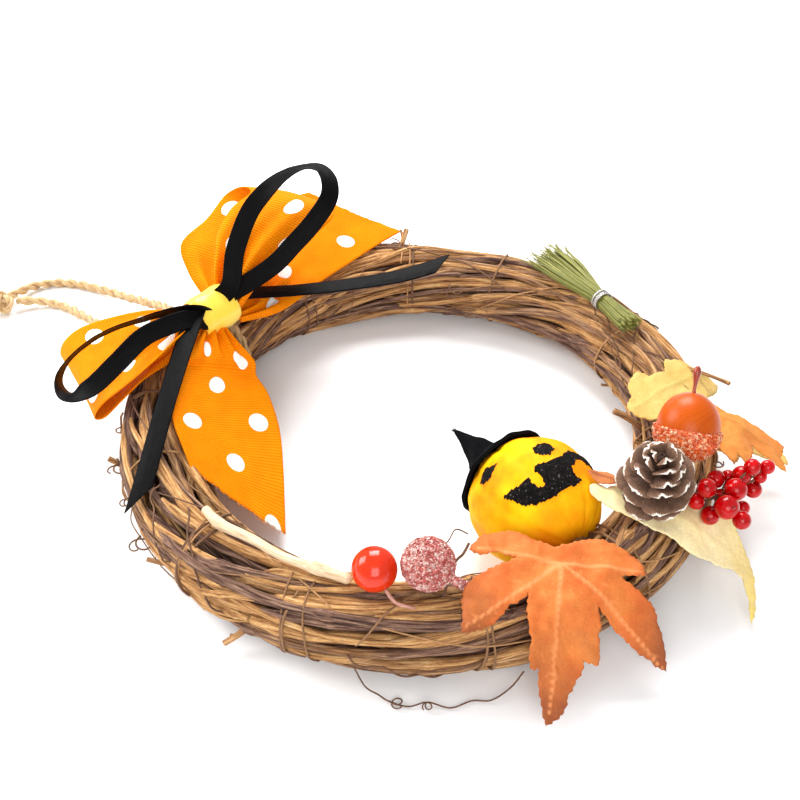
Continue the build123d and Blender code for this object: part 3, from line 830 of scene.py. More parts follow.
def curl(shape, start, heading, size, turns, radius, seed):
    """Tendril that leaves start along heading and winds into a loose curl."""
    heading = heading.normalized()
    side = UP.cross(heading).normalized()
    line = []
    for i in range(int(26 * turns) + 10):
        t = i / 26
        shrink = size * (1 - 0.45 * min(t / max(turns, 0.1), 1))
        angle = 2 * pi * t
        point = start + heading * (size * 0.9 * t + shrink * sin(angle)) + side * (shrink * (1 - cos(angle)))
        point += UP * (0.6 * sway(t * 1.3, seed))
        point.z = max(point.z, radius + 0.05)
        line.append(point)
    shape.tube(line, lambda s: radius * clamp(1.1 - s * 0.012, 0.45, 1), sides=6, tone=0.1)


# Each curl: foot and heading round the ring, size, turns, radius and seed.
CURLS = (
    ((131, 99, 14), (150, 1, 0.1), 3.2, 1.1, 0.3, 3), ((150, 99.5, 12), (170, 1, 0.1), 3.6, 1.2, 0.3, 5),
    ((33, 90, 26), (70, 1, 0.4), 3.0, 1.0, 0.3, 9), ((20, 74, 20), (190, 1, -0.3), 3.4, 1.3, 0.24, 11),
    ((292, 96, 26), (350, 1, 0.3), 2.6, 1.2, 0.28, 13), ((205, 103.4, 1.2), (240, 1, 0), 2.1, 1.1, 0.22, 17),
    ((122, 98, 16), (152, 1, 0.2), 2.4, 1.4, 0.24, 21), ((139, 98.5, 11), (158, 1, 0.1), 2.2, 1.2, 0.24, 23),
    ((211, 103.6, 1.6), (160, 1, 0), 1.5, 1.0, 0.2, 19),
)
HANGING_TENDRIL = (
    (199, 99, 9), (201, 101.5, 4.5), (203.2, 102.2, 2.2), (205, 103.4, 1.2), (208, 104.6, 0.9),
    (211, 103.6, 1.6), (214.5, 105.3, 0.9), (218, 103.6, 0.9), (221, 104.6, 1.4), (224.5, 102.4, 2.6),
    (227, 100.2, 5.5),
)
curls_shape = Shape()
for foot, heading, size, turns, radius, seed in CURLS:
    curl(curls_shape, spot(*foot), spot(*heading), size, turns, radius, seed)
tendril_line = smooth_path([spot(*place) for place in HANGING_TENDRIL], 0.5)
curls_shape.tube(tendril_line, 0.26, sides=6, tone=0.05)
curls_shape.piece("loose_curls", TENDRIL, "tendril", "curly_tendrils")

# Broken vine ends: foot, tip, and radius at the foot.
STUBS = (
    ((131, 97, 10), (130, 103, 15), 0.9), ((178.5, 96, 8), (176, 102.5, 4.5), 0.9),
    ((34, 88, 23), (32, 97, 29), 1.0), ((294, 76, 18), (296, 65, 24), 1.0),
    ((312, 90, 25), (302, 104, 29), 0.6), ((157, 97, 9), (155, 101.5, 11), 0.7),
)
stubs_shape = Shape()
for seed, (foot, tip, radius) in enumerate(STUBS, start=130):
    foot, tip = spot(*foot), spot(*tip)
    middle = foot.lerp(tip, 0.5) + Vector((sway(seed), sway(seed + 0.5), 0.6)) * 0.8
    line = smooth_path([foot, middle, tip], 0.5)
    vine(stubs_shape, line, radius, seed=seed, rough=0.25, tone=0.4)
    side_tip = middle + (tip - foot) * 0.35 + spot(seed * 77, 2.0, 0.5)
    side_line = smooth_path([middle, middle.lerp(side_tip, 0.6), side_tip], 0.5)
    stubs_shape.tube(side_line, 0.5 * radius, tone=0.5)
stubs_shape.piece("broken_vine_ends", BARK, "vine_bark", "twig_stubs")

# ---- the orange bow ----------------------------------------------------------------------------
RIBBON_WIDTH = 38.0
RIBBON_COLUMNS = 44
PLEATS = 3.5
RIB_PITCH = 0.95
DOT_RADIUS = 3.3


def grosgrain_look(name, dots):
    """Orange ribbed ribbon with white dots at places on the flat ribbon, in millimetres."""
    look = Look(name, Roughness=0.7, Specular_IOR_Level=0.05)
    flat = look.lay()
    weave = look.noise(look.scaled(flat, (1.6, 5.0, 1)), detail=3)
    rib_phase = look.math("MULTIPLY", look.separate(flat)[0], 2 * pi / RIB_PITCH)
    ribs = look.math("SINE", look.math("ADD", rib_phase, look.math("MULTIPLY", weave, 1.2)))
    base = look.mix(look.noise(look.scaled(flat, (0.12, 0.12, 1)), detail=2), (236, 120, 0), (248, 148, 2))
    base = look.mix(look.step(ribs, -1, 0.2, 0.3, 0), base, (200, 78, 0))
    cover = None
    edge = look.math("MULTIPLY", look.noise(look.scaled(flat, (2.2, 2.2, 1)), detail=2), 0.35)
    for along, across in dots:
        inputs = {0: flat, 1: (along, across, 0.0)}
        apart = look.node("VectorMath", inputs, operation="DISTANCE").outputs["Value"]
        cover = apart if cover is None else look.math("MINIMUM", cover, apart)
    if cover is not None:
        spots = look.step(look.math("ADD", cover, edge), DOT_RADIUS + 0.12, DOT_RADIUS + 0.32, 1, 0)
        white = look.mix(look.step(ribs, -1, 0.3, 0.3, 0), (252, 250, 246), (226, 220, 210))
        base = look.mix(spots, base, white)
    look.set(Base_Color=base)
    look.bump(ribs, 0.16, 0.6)
    look.bump(weave, 0.1, 0.4)
    return look.material


def ribbon_rows(rows):
    """Fine grid of points on a ribbon through rows of (left edge, right edge, crown, pleat depth)."""
    count = int(run_length([(left + right) / 2 for left, right, _, _ in rows]) / 0.8)
    lefts, rights, crowns, depths = ([row[k] for row in rows] for k in range(4))
    grid, lay = [], []
    along = 0.0
    before = None
    for i in range(count + 1):
        share = i / count
        left, right = on_curve(lefts, share), on_curve(rights, share)
        nearby = (min(share + 0.01, 1.0), max(share - 0.01, 0.0))
        ahead, back = (on_curve(lefts, at) + on_curve(rights, at) for at in nearby)
        across = (right - left).normalized()
        normal = across.cross((ahead - back).normalized()).normalized()
        crown, depth = on_curve(crowns, share), on_curve(depths, share)
        middle = (left + right) / 2
        along += (middle - before).length if before else 0
        before = middle
        line, line_lay = [], []
        for j in range(RIBBON_COLUMNS + 1):
            f = j / RIBBON_COLUMNS
            lift = crown * sin(pi * f) + depth * sin(2 * pi * PLEATS * f + 1.2 * sway(along * 0.02, f * 2))
            line.append(left.lerp(right, f) + normal * lift)
            line_lay.append(Vector((along, f * RIBBON_WIDTH, 0)))
        grid.append(line)
        lay.append(line_lay)
    return grid, lay


def orange_ribbon(name, node, place, rows, dots, frayed=False):
    """Ribbon piece with its own dots and, at its last row, a frayed cut if asked for.

    Each row is its left and right edge as (along, across, up) in the frame place, its crown and pleat depth.
    """
    rows = [(place.at(*left), place.at(*right), crown, depth) for left, right, crown, depth in rows]
    shape = Shape()
    grid, lay = ribbon_rows(rows)
    if frayed:
        chance = random.Random(name)
        last = grid[-1]
        for j, point in enumerate(last):
            heading = (point - grid[-3][j]).normalized()
            last[j] = point + heading * (0.5 * sway(j * 0.8, 3) + chance.uniform(-0.25, 0.35))
    shape.grid(grid, lay)
    made = shape.piece(name, grosgrain_look(name + "_cloth", dots), "orange_grosgrain", node, thickness=0.4)
    threads = []
    if frayed:
        thread_shape = Shape()
        chance = random.Random(name + "threads")
        for _ in range(70):
            j = chance.randrange(0, len(grid[-1]) - 1)
            start = grid[-1][j]
            heading = (start - grid[-4][j]).normalized()
            sideways = (grid[-1][j + 1] - start).normalized()
            reach = chance.uniform(0.5, 2.2)
            bend = chance.uniform(-1.3, 1.3)
            hair = [
                start - heading * 0.5 + heading * (reach * t) + sideways * (bend * t * t) + UP * (0.4 * t * t)
                for t in (0, 0.3, 0.6, 1.0)
            ]
            for point in hair:
                point.z = max(point.z, 0.15)
            thread_shape.tube(hair, 0.075, sides=3)
        threads = [thread_shape.piece(name + "_frayed_threads", THREAD, "orange_grosgrain")]


THREAD = grained_look(
    "ribbon_thread", 0.3, 4.0, ((0.3, (240, 130, 20)), (0.7, (255, 196, 110))), Roughness=0.5
)

right_root = Frame(
    BOW_CENTRE + BOW_AXIS * 9 + Vector((0, 2, 1)), (0.844, 0.199, 0.5), (-0.487, -0.115, 0.867)
)
left_root = Frame(
    BOW_CENTRE - BOW_AXIS * 8.5 + Vector((0, 4, 0)), (-0.455, 0.788, -0.38), (-0.19, 0.33, 0.92)
)
right_tail = Frame((5, 73, 33), (1, 0, 0), (0, -0.41, 0.91))
lower_tail = Frame((-15, 74, 33), (-0.68, -0.68, -0.31), (0.16, -0.54, 0.83))

orange_ribbon(
    "orange_right_loop", "orange_loop_right", right_root,
    [
        ((-7, 3.5, 1.5), (-7, -5, 0.5), 0.8, 1.4),
        ((0, 4, 4.5), (-1, -8, 3), 0.8, 1.5),
        ((8, 5, 9), (6, -13, 7), 1.5, 1.5),
        ((18, 7, 10), (15, -19, 6), 2.5, 0.8),
        ((28, 5, 10), (26, -25, 4), 3.0, 0.3),
        ((36, 1, 8), (35, -29, 2), 2.5, 0.0),
        ((41, 7, 2), (41, -25, -3), 1.5, 0.0),
        ((40, 15, -4), (38, -19, -8), -1.5, 0.0),
        ((30, 20, -6), (28, -14, -11), -2.5, 0.0),
        ((18, 26, -5), (15, -9, -12), -2.5, 0.3),
        ((8, 20, -6), (5, -6, -10), -1.5, 1.3),
        ((-5, 5, -3), (-6, -3, -4), -0.5, 1.7),
    ],
    dots=((23, 9), (30, 33), (44, 22), (71, 6), (57, 34), (12, 30)),
)
orange_ribbon(
    "orange_left_loop", "orange_loop_left", left_root,
    [
        ((-9, 0, 3), (-6, 9, 2), 0.6, 1.3),
        ((0, 0, 5.5), (-2, 17, 3.6), 1.2, 1.5),
        ((9, -0.5, 8), (4, 27, 5), 2.0, 0.9),
        ((19, -2, 8.5), (11, 31, 4), 2.5, 0.3),
        ((30, -3.5, 8.5), (18, 32, 2), 2.5, 0.1),
        ((40, -4, 7.5), (25, 33, 0), 2.0, 0.0),
        ((47, -3, 4.5), (30, 33, -3), 1.2, 0.0),
        ((50, -3, -0.5), (32, 32, -6), 0.5, 0.0),
        ((46, -4, -5), (29, 31, -7), -0.8, 0.0),
        ((35, -4, -6), (21, 29, -4), -1.2, 0.1),
        ((21, -3, -5), (12, 25, -1.4), -0.8, 0.3),
        ((8, 0, -4), (4, 18, -2.5), -0.6, 1.2),
        ((-6, 2, -3), (-6, 9, -3), -0.5, 1.5),
    ],
    dots=((12, 30), (20, 6), (29, 27), (38, 6), (48, 30), (57, 8)),
)
orange_ribbon(
    "orange_right_tail", "orange_tail_right", right_tail,
    [
        ((-6, 3, 1), (-7, -3, 1), 0.5, 1.3),
        ((4, 6, 0.5), (4, -8, 0.5), 0.8, 1.5),
        ((17, 13, 0), (14, -10.5, 0), 1.0, 0.9),
        ((33, 19, 0.5), (31, -12, 0.5), 0.8, 0.2),
        ((48, 20, 1.5), (50, -14.5, 0.5), 0.3, 0.0),
        ((58, 19, 2), (66, -16.5, 0), -0.6, 0.0),
        ((64.5, 17, 1.5), (81, -19, -0.5), -1.0, 0.0),
    ],
    dots=((31, 23), (62, 29), (46, 8), (16, 30), (4, 8)),
    frayed=True,
)
orange_ribbon(
    "orange_lower_tail", "orange_tail_lower", lower_tail,
    [
        ((-5, -1, 1.5), (-6, 5, 1.5), 0.5, 1.2),
        ((4, -7, 2.2), (2, 9, 2), 1.2, 1.3),
        ((12, -11, 2.2), (9, 15, 1.6), 2.0, 0.3),
        ((15, -13, -0.8), (13, 16.5, -1.2), 0.6, 0.0),
        ((25, -18, -0.3), (21, 19, -0.4), 1.2, 0.0),
        ((37, -20, 0.3), (35, 20, 0), 1.6, 0.0),
        ((47, -18.5, 0.5), (52, 17.5, 0.3), 1.2, 0.0),
        ((54, -17, 0.4), (76.5, 12.5, 0.5), 0.4, 0.0),
    ],
    dots=((26, 18), (42, 7), (41, 31), (57, 20), (73, 33), (16, 31), (11, 12)),
    frayed=True,
)

# The gathered ribbon inside the band, and the gold satin band round it.
band_first, band_second = square_frame(BOW_AXIS, UP)


def round_bow(turn, reach, along):
    """Point round the bow's middle: turn in degrees from its top, along its axis."""
    return BOW_CENTRE + BOW_AXIS * along + round_dir(radians(turn), band_first, band_second) * reach


GATHER_HALF = 8.5
GATHER_ROWS, GATHER_COLUMNS = 41, 96


def gather_point(i, j):
    along = -GATHER_HALF + 2 * GATHER_HALF * i / (GATHER_ROWS - 1)
    turn = 360 * j / GATHER_COLUMNS
    flare = 1 + 0.15 * (abs(along) / GATHER_HALF) ** 2
    pleat = 0.3 * sin(radians(turn) * 9 + 0.6 * sin(along * 0.4)) * ease(abs(along) / 7)
    squash = 1 - 0.22 * abs(sin(radians(turn)))
    point = round_bow(turn, (5.2 * squash + pleat) * flare, along)
    return point, Vector((along, RIBBON_WIDTH * j / GATHER_COLUMNS, 0))


gather_shape = Shape()
gather_shape.lattice(GATHER_ROWS, GATHER_COLUMNS, gather_point, around=True)
gather_cloth = grosgrain_look("gather_cloth", ())
gather_shape.piece("bow_gathers", gather_cloth, "orange_grosgrain", "bow_gather", thickness=0.4)

gold = Look("gold_satin", Roughness=0.33, Sheen_Weight=0.15, Specular_IOR_Level=0.6)
gold_flat = gold.lay()
gold_weave = gold.noise(gold.scaled(gold_flat, (0.7, 9, 1)), detail=3)
gold.set(Base_Color=gold.mix(
    gold.noise(gold.scaled(gold_flat, (0.08, 0.35, 1)), detail=3), (254, 206, 24), (255, 232, 92)
))
gold.bump(gold_weave, 0.06, 0.4)
gold.bump(gold.noise(gold.scaled(gold_flat, (0.1, 0.4, 1)), detail=2), 0.35, 0.5)
BAND_RADIUS = 8.2
BAND_WIDTH, BAND_LENGTH = 12.5, 43
BAND_ROWS, BAND_COLUMNS = 150, 33


def band_point(i, j):
    turn = 360 * i / BAND_ROWS
    f = j / (BAND_COLUMNS - 1)
    along = (f - 0.5) * (14.4 + 0.3 * sway(turn * 0.012, 5)) - 0.8
    fold = 0.16 * sin(2 * pi * (1.6 * f + 0.2 * sin(radians(turn)))) + 0.12 * sway(f * 2, turn * 0.012, 3)
    edge = -0.5 * (2 * abs(f - 0.5)) ** 6
    squash = 1 - 0.16 * abs(sin(radians(turn)))
    point = round_bow(turn, BAND_RADIUS * squash + fold + edge, along + 0.8 * sin(radians(turn)))
    return point, Vector((BAND_LENGTH * i / BAND_ROWS, f * BAND_WIDTH, 0))


band_shape = Shape()
band_shape.lattice(BAND_ROWS, BAND_COLUMNS, band_point, onward=True)
band = band_shape.piece("gold_satin_band", gold.material, "gold_satin", "gold_band", thickness=0.4)

# ---- the black satin bow -----------------------------------------------------------------------
BLACK_WIDTH = 6.5
satin = Look("black_satin", Roughness=0.5, Specular_IOR_Level=0.06)
satin_flat = satin.lay()
satin_weave = satin.noise(satin.scaled(satin_flat, (0.6, 10, 1)), detail=3)
satin_drift = satin.noise(satin.scaled(satin_flat, (0.1, 0.3, 1)), detail=3)
satin.set(
    Base_Color=satin.mix(satin_drift, (3, 3, 4), (10, 9, 11)),
    Roughness=satin.step(satin_weave, 0.3, 0.7, 0.42, 0.56),
)
satin.bump(satin_weave, 0.08, 0.5)
satin.bump(satin.noise(satin.scaled(satin_flat, (0.05, 0.5, 1)), detail=2), 0.5, 0.35)
SATIN = satin.material


def satin_strip(name, node, stations, cut=0.0):
    """Narrow ribbon through stations of (place, direction its width takes); cut slants its last end."""
    places = [Vector(p) for p, _ in stations]
    widths = [Vector(w).normalized() for _, w in stations]
    count = int(run_length(places) / 0.7)
    rows, lay, along = [], [], 0.0
    for i in range(count + 1):
        share = i / count
        point = on_curve(places, share)
        ahead, back = on_curve(places, min(share + 0.01, 1)), on_curve(places, max(share - 0.01, 0))
        heading = (ahead - back).normalized()
        across = on_curve(widths, share)
        across = (across - heading * across.dot(heading)).normalized()
        along += (point - before).length if i else 0
        before = point
        normal = heading.cross(across)
        row, row_lay = [], []
        for j in range(13):
            f = j / 12 - 0.5
            slant = cut * f * ease((share - 0.75) / 0.25)
            crown = 0.25 * (0.25 - f * f) * 4 + 0.06 * sway(along * 0.3, f * 3)
            row.append(point + across * (f * BLACK_WIDTH) + normal * crown + heading * slant)
            row_lay.append(Vector((along, f * BLACK_WIDTH, 0)))
        rows.append(row)
        lay.append(row_lay)
    shape = Shape()
    shape.grid(rows, lay)
    shape.piece(name, SATIN, "black_satin", node, thickness=0.3)


TO_CAMERA = (CAMERA_PLACE - BOW_CENTRE).normalized()
# The right loop lies along this frame's x_dir, and its plane faces the camera.
black_right = Frame(
    BOW_CENTRE + BOW_AXIS * 6 + Vector((-1, -5, 7)), (0.742, -0.153, 0.653), (-0.13, -0.985, -0.083)
)


def strip_stations(frame_used, stations):
    """Stations in one frame as (along, side, up, how far the strip stands edge-on)."""
    places = [frame_used.at(a, b, c) for a, b, c, _ in stations]
    made, last = [], None
    for i, (_, _, _, edge_on) in enumerate(stations):
        heading = (places[min(i + 1, len(places) - 1)] - places[max(i - 1, 0)]).normalized()
        across = heading.cross(TO_CAMERA).normalized().lerp(TO_CAMERA, edge_on).normalized()
        if last is not None and across.dot(last) < 0:
            across = -across
        last = across
        made.append((places[i], across))
    return made


satin_strip("black_right_loop", "black_loop_right", strip_stations(black_right, [
    (-6, 1, -4.5, 0.1), (1, 3.6, -0.8, 0.1), (11.6, 6, -4.4, 0.05), (24.7, 7, -6.7, 0.1), (34, 6, -6.4, 0.3),
    (42.2, 4, -4.6, 0.55), (48.4, 2, -0.7, 0.72), (51.2, 0, 4.4, 0.6), (48.6, 0, 10.1, 0.35),
    (42.6, 0, 13.4, 0.2), (32.4, 0, 12.6, 0.1), (23.5, 0, 10.4, 0.1), (14.9, 0, 8, 0.1), (4.5, 0, 2.4, 0.15),
    (-4, 0.5, -3.5, 0.15),
]))
satin_strip("black_left_loop", "black_loop_left", strip_stations(Frame((0, 0, 0), (1, 0, 0), UP), [
    (-12.5, 75.5, 39, 0.4), (-17, 78, 43.4, 0.5), (-23, 85, 44, 0.72), (-29, 91, 42.7, 0.8),
    (-35, 97, 41, 0.84), (-42, 102, 38.5, 0.86), (-50, 106, 34, 0.88), (-57, 104, 31.5, 0.88),
    (-62, 96, 32, 0.7), (-59, 88, 36.5, 0.3), (-50, 84.5, 41, 0.1), (-37, 83.5, 43.5, 0.05),
    (-28, 80, 44, 0.1), (-21, 76.5, 43.4, 0.2), (-14, 74.5, 39, 0.2),
]))
satin_strip("black_right_tail", "black_tail_right", [
    ((-1, 76.5, 41), (0.5, 0.75, 0.2)), ((8, 71, 38.2), (0.55, 0.8, 0.1)),
    ((22, 61.5, 34), (0.6, 0.8, 0.05)), ((38, 49.5, 31), (0.6, 0.78, 0.1)),
    ((54, 37.5, 29.2), (0.6, 0.76, 0.15)), ((68, 27.5, 29.8), (0.6, 0.75, 0.2)),
], cut=9.0)
satin_strip("black_lower_tail", "black_tail_lower", [
    ((-13, 79, 43), (0.3, -0.9, 0)), ((-22, 75.5, 41), (0.36, -0.92, 0)),
    ((-36, 70, 38.2), (0.37, -0.92, 0.05)), ((-52, 63.5, 34.5), (0.37, -0.92, 0.1)),
    ((-68, 57, 29.5), (0.37, -0.92, 0.1)), ((-83, 51, 24.5), (0.37, -0.92, 0)),
], cut=-10.0)

WIRE = grained_look(
    "floral_wire", 0.6, 4.0, ((0.3, (52, 44, 40)), (0.7, (112, 92, 80))), Metallic=0.6, Roughness=0.45
)

# ---- the pumpkin and its hat -------------------------------------------------------------------
pumpkin_side = (Vector((1, 0, 0)) - PUMPKIN_AXIS * PUMPKIN_AXIS.x).normalized()
pumpkin_front = PUMPKIN_AXIS.cross(pumpkin_side)

# Painted features as (longitude, latitude) outlines on the pumpkin, in degrees.
FACE_OUTLINES = (
    ((-90, 14), (-81, 15), (-71, 13), (-73, 2), (-83, -3), (-90, -1), (-93, 7)),
    ((-148, 29), (-134, 34), (-121, 23), (-134, 18), (-147, 20)),
    ((-139, -4), (-130, -7), (-122, -8), (-114, -9), (-113, -13), (-114, -19), (-113, -22), (-107, -23),
     (-105, -18), (-106, -10), (-103, -5), (-96, -6), (-91, -6), (-85, -8), (-76, -7), (-62, -3), (-49, -3),
     (-45, -13), (-62, -16), (-71, -19), (-73, -25), (-68, -31), (-68, -35), (-81, -36), (-92, -35),
     (-99, -36), (-110, -35), (-121, -32), (-128, -29), (-135, -22), (-138, -14)),
    ((-52, -5), (-30, -6), (-28, -18), (-39, -21), (-53, -17)),
)


def inside(outline, x, y):
    """Whether a flat point lies in a closed outline."""
    found = False
    for (x0, y0), (x1, y1) in zip(outline, outline[1:] + outline[:1]):
        if (y0 > y) != (y1 > y) and x < x0 + (y - y0) / (y1 - y0) * (x1 - x0):
            found = not found
    return found


def pumpkin_point(longitude, latitude, reach):
    flat = round_dir(radians(longitude), pumpkin_side, pumpkin_front)
    return PUMPKIN_CENTRE + (flat * cos(radians(latitude)) + PUMPKIN_AXIS * sin(radians(latitude))) * reach


foam = Look(
    "pumpkin_foam", Roughness=0.62, Specular_IOR_Level=0.1,
    Subsurface_Weight=0.2, Subsurface_Radius=(1.0, 0.45, 0.08), Subsurface_Scale=0.004,
)
foam_cloud = foam.noise(foam.place(0.06), detail=3)
foam_fine = foam.noise(foam.place(1.6), detail=4)
foam_base = foam.ramp(foam_cloud, (0.32, (242, 130, 0)), (0.5, (250, 164, 0)), (0.68, (252, 196, 4)))
sparkle_value = foam.cells(foam.place(2.3), 0)
foam_black = foam.ramp(sparkle_value, (0.0, (6, 5, 5)), (0.6, (13, 10, 10)), (0.9, (34, 28, 28)))
# Black glitter paint of the face: cells above 0.97 turn grey (92, 86, 86), painted glints of glitter flakes
# catching the light.
face_paint_and_glints = foam.mix(foam.step(sparkle_value, 0.97, 1.0), foam_black, (92, 86, 86))
foam_mask = foam.step(foam.math("ADD", foam.tone(), foam.math("MULTIPLY", foam_fine, 0.7)), 0.78, 0.9)
foam_skin = foam.mix(foam.step(foam_fine, 0.3, 0.7, 0.0, 0.12), foam_base, (255, 210, 40))
foam.set(
    Base_Color=foam.mix(foam_mask, foam_skin, face_paint_and_glints),
    Roughness=foam.step(foam_mask, 0, 1, 0.62, 0.85),
)
foam.bump(foam_fine, 0.2, 0.45)
foam.bump(foam.math("MULTIPLY", sparkle_value, foam_mask), 0.12, 0.9)
pumpkin_shape = Shape()
PUMPKIN_ROWS, PUMPKIN_COLUMNS = 130, 260
pumpkin_rows, pumpkin_lay, pumpkin_tone = [], [], []
for i in range(1, PUMPKIN_ROWS):
    latitude = 90 - 180 * i / PUMPKIN_ROWS
    row, tones = [], []
    for j in range(PUMPKIN_COLUMNS):
        longitude = -180 + 360 * j / PUMPKIN_COLUMNS
        shift_x = longitude + 1.6 * sway(longitude * 0.16, latitude * 0.16, 4)
        shift_y = latitude + 1.3 * sway(longitude * 0.16, latitude * 0.16, 9)
        painted = any(inside(outline, shift_x, shift_y) for outline in FACE_OUTLINES)
        rib = -0.55 * exp(-((((longitude + 8) % 40) - 20) / 5.5) ** 2) * cos(radians(latitude)) ** 0.6
        dent = 0.35 * sway(longitude * 0.03, latitude * 0.05, 2)
        grain = 0.16 * abs(sway(longitude * 2.1, latitude * 2.1, 6)) + 0.22 if painted else 0.0
        pole = -1.5 * exp(-((90 - abs(latitude)) / 14) ** 2)
        row.append(pumpkin_point(longitude, latitude, PUMPKIN_RADIUS - 0.15 + rib + dent + grain + pole))
        tones.append(0.8 if painted else 0.0)
    pumpkin_rows.append(row)
    pumpkin_lay.append([p - PUMPKIN_CENTRE for p in row])
    pumpkin_tone.append(tones)
pumpkin_shape.grid(pumpkin_rows[::-1], pumpkin_lay[::-1], pumpkin_tone[::-1], around=True)
for base, pole in ((0, -1), ((PUMPKIN_ROWS - 2) * PUMPKIN_COLUMNS, 1)):
    pole_point = PUMPKIN_CENTRE + PUMPKIN_AXIS * (pole * (PUMPKIN_RADIUS - 1.9))
    pumpkin_shape.fan(base, PUMPKIN_COLUMNS, pole_point, Vector(), flip=pole < 0)
pumpkin_shape.piece("pumpkin", foam.material, "pumpkin_foam", "pumpkin_body")

felt = Look("black_felt", Roughness=0.95, Specular_IOR_Level=0.05)
felt_fibres = felt.noise(felt.place(1.4), detail=6, roughness=0.8, distortion=1.5)
felt.set(Base_Color=felt.ramp(felt_fibres, (0.3, (6, 6, 8)), (0.6, (16, 16, 19)), (0.8, (34, 34, 38))))
felt.bump(felt_fibres, 0.4, 0.9)
FELT = felt.material


def fuzz(shape, points, outwards, seed, count, length):
    """Short fibres that stand off felt at random points."""
    chance = random.Random(seed)
    for _ in range(count):
        k = chance.randrange(len(points))
        out = outwards[k].normalized()
        aside = Vector((chance.uniform(-1, 1), chance.uniform(-1, 1), chance.uniform(-1, 1)))
        reach = length * chance.uniform(0.4, 1.0)
        start = points[k] - out * 0.15
        bent = start + (out + aside * 0.6).normalized() * reach * 0.6
        shape.tube([start, bent, bent + (out * 0.4 + aside).normalized() * reach * 0.5], 0.035, sides=3)


BRIM_REACH = 21.4
BRIM_ROWS, BRIM_COLUMNS = 34, 150


def brim_point(i, j):
    share = i / (BRIM_ROWS - 1)
    turn = 360 * j / BRIM_COLUMNS
    spread = 4 + share * (43.5 + 1.3 * sway(3 * cos(radians(turn)), 3 * sin(radians(turn)), 3))
    reach = BRIM_REACH + 0.25 * sway(turn * 0.06, share * 4)
    reach += 0.9 * share**6 * (0.6 + 0.5 * sway(turn * 0.03, 8))
    point = pumpkin_point(turn, 90 - spread, reach)
    return point, point - PUMPKIN_CENTRE


brim_shape = Shape()
brim_rows = brim_shape.lattice(BRIM_ROWS, BRIM_COLUMNS, brim_point, around=True)
rim_points = brim_rows[-1] + brim_rows[-2]
brim_fuzz_shape = Shape()
fuzz(brim_fuzz_shape, rim_points, [p - PUMPKIN_CENTRE for p in rim_points], 51, 420, length=0.9)
brim = brim_shape.piece("hat_felt_brim", FELT, "black_felt", "hat_brim", thickness=1.2)
brim_fuzz = brim_fuzz_shape.piece("hat_brim_fuzz", FELT, "black_felt")

HAT_HEIGHT = 16.9
HAT_ROWS, HAT_COLUMNS = 40, 40


def hat_point(i, j):
    share = i / (HAT_ROWS - 1)
    turn = 2 * pi * j / HAT_COLUMNS
    wide = (6.6 * (1 - share) ** 1.25 + 0.75) * (0.6 if share > 0.97 else 1)
    bend = Vector((-0.4, 0.5, 0.2)) * (2.0 * share**2)
    centre = PUMPKIN_CENTRE + PUMPKIN_AXIS * (21.3 + HAT_HEIGHT * share) + bend
    dent = 1 + 0.14 * sway(1.5 * cos(turn), 1.5 * sin(turn), share * 3)
    point = centre + round_dir(turn, pumpkin_side, pumpkin_front) * (wide * dent)
    return point, point - PUMPKIN_CENTRE


hat_shape = Shape()
hat_rows = hat_shape.lattice(HAT_ROWS, HAT_COLUMNS, hat_point, around=True)
hat_tip = sum(hat_rows[-1], Vector()) / HAT_COLUMNS + PUMPKIN_AXIS * 0.4
hat_shape.fan((HAT_ROWS - 1) * HAT_COLUMNS, HAT_COLUMNS, hat_tip, Vector())
cone_out = [p - sum(row, Vector()) / HAT_COLUMNS for row in hat_rows for p in row]
fuzz(hat_shape, flattened(hat_rows), cone_out, 52, 520, length=0.8)
fuzz(hat_shape, hat_rows[-1], [PUMPKIN_AXIS] * HAT_COLUMNS, 53, 60, length=1.8)
hat_shape.piece("hat_felt_cone", FELT, "black_felt", "hat_cone")

# ---- single berries ----------------------------------------------------------------------------
lacquer = Look(
    "orange_lacquer", Roughness=0.16, Specular_IOR_Level=0.4, Subsurface_Weight=0.08, Subsurface_Scale=0.002
)
lacquer_drift = lacquer.noise(lacquer.place(0.12), detail=3)
lacquer_stops = ((0.3, (186, 34, 2)), (0.55, (206, 44, 6)), (0.75, (222, 60, 14)))
lacquer.set(Base_Color=lacquer.ramp(lacquer_drift, *lacquer_stops))
lacquer.bump(lacquer.noise(lacquer.place(0.5), detail=2), 0.12, 0.3)
ORANGE_BERRY_RADIUS = 6.5
orange_centre = spot(201, 83.5, 34)
berry_shape = Shape()
berry_shape.ball(
    orange_centre, ORANGE_BERRY_RADIUS, rings=40, sides=64, axis=Vector((-0.1, -0.6, -0.3)),
    bend=lambda d: 1 + 0.008 * sway(d.x * 2, d.y * 2, d.z * 2),
)
berry_shape.piece("orange_berry_ball", lacquer.material, "orange_lacquer", "orange_berry")

pink_wire = Look("berry_wire", Roughness=0.5)
pink_wire.set(Base_Color=pink_wire.ramp(
    pink_wire.noise(pink_wire.lay((2, 2, 0.5))), (0.3, (150, 96, 84)), (0.7, (214, 160, 140))
))
pink_wire.bump(pink_wire.noise(pink_wire.lay((4, 4, 1))), 0.15, 0.6)
stem_shape = Shape()
stem_route = (
    orange_centre + spot(245, 5.4, -3.6), orange_centre + spot(250, 9, -6),
    spot(208.2, 90, 26.4), spot(210, 88, 24),
)
stem_shape.tube(
    smooth_path(stem_route, 0.5), 0.55, sides=10, ripple=lambda a, s: 1 + 0.15 * sway(cos(a), sin(a), s * 0.7)
)
stem_shape.piece("orange_berry_stem", pink_wire.material, "wire", "orange_berry_wire")

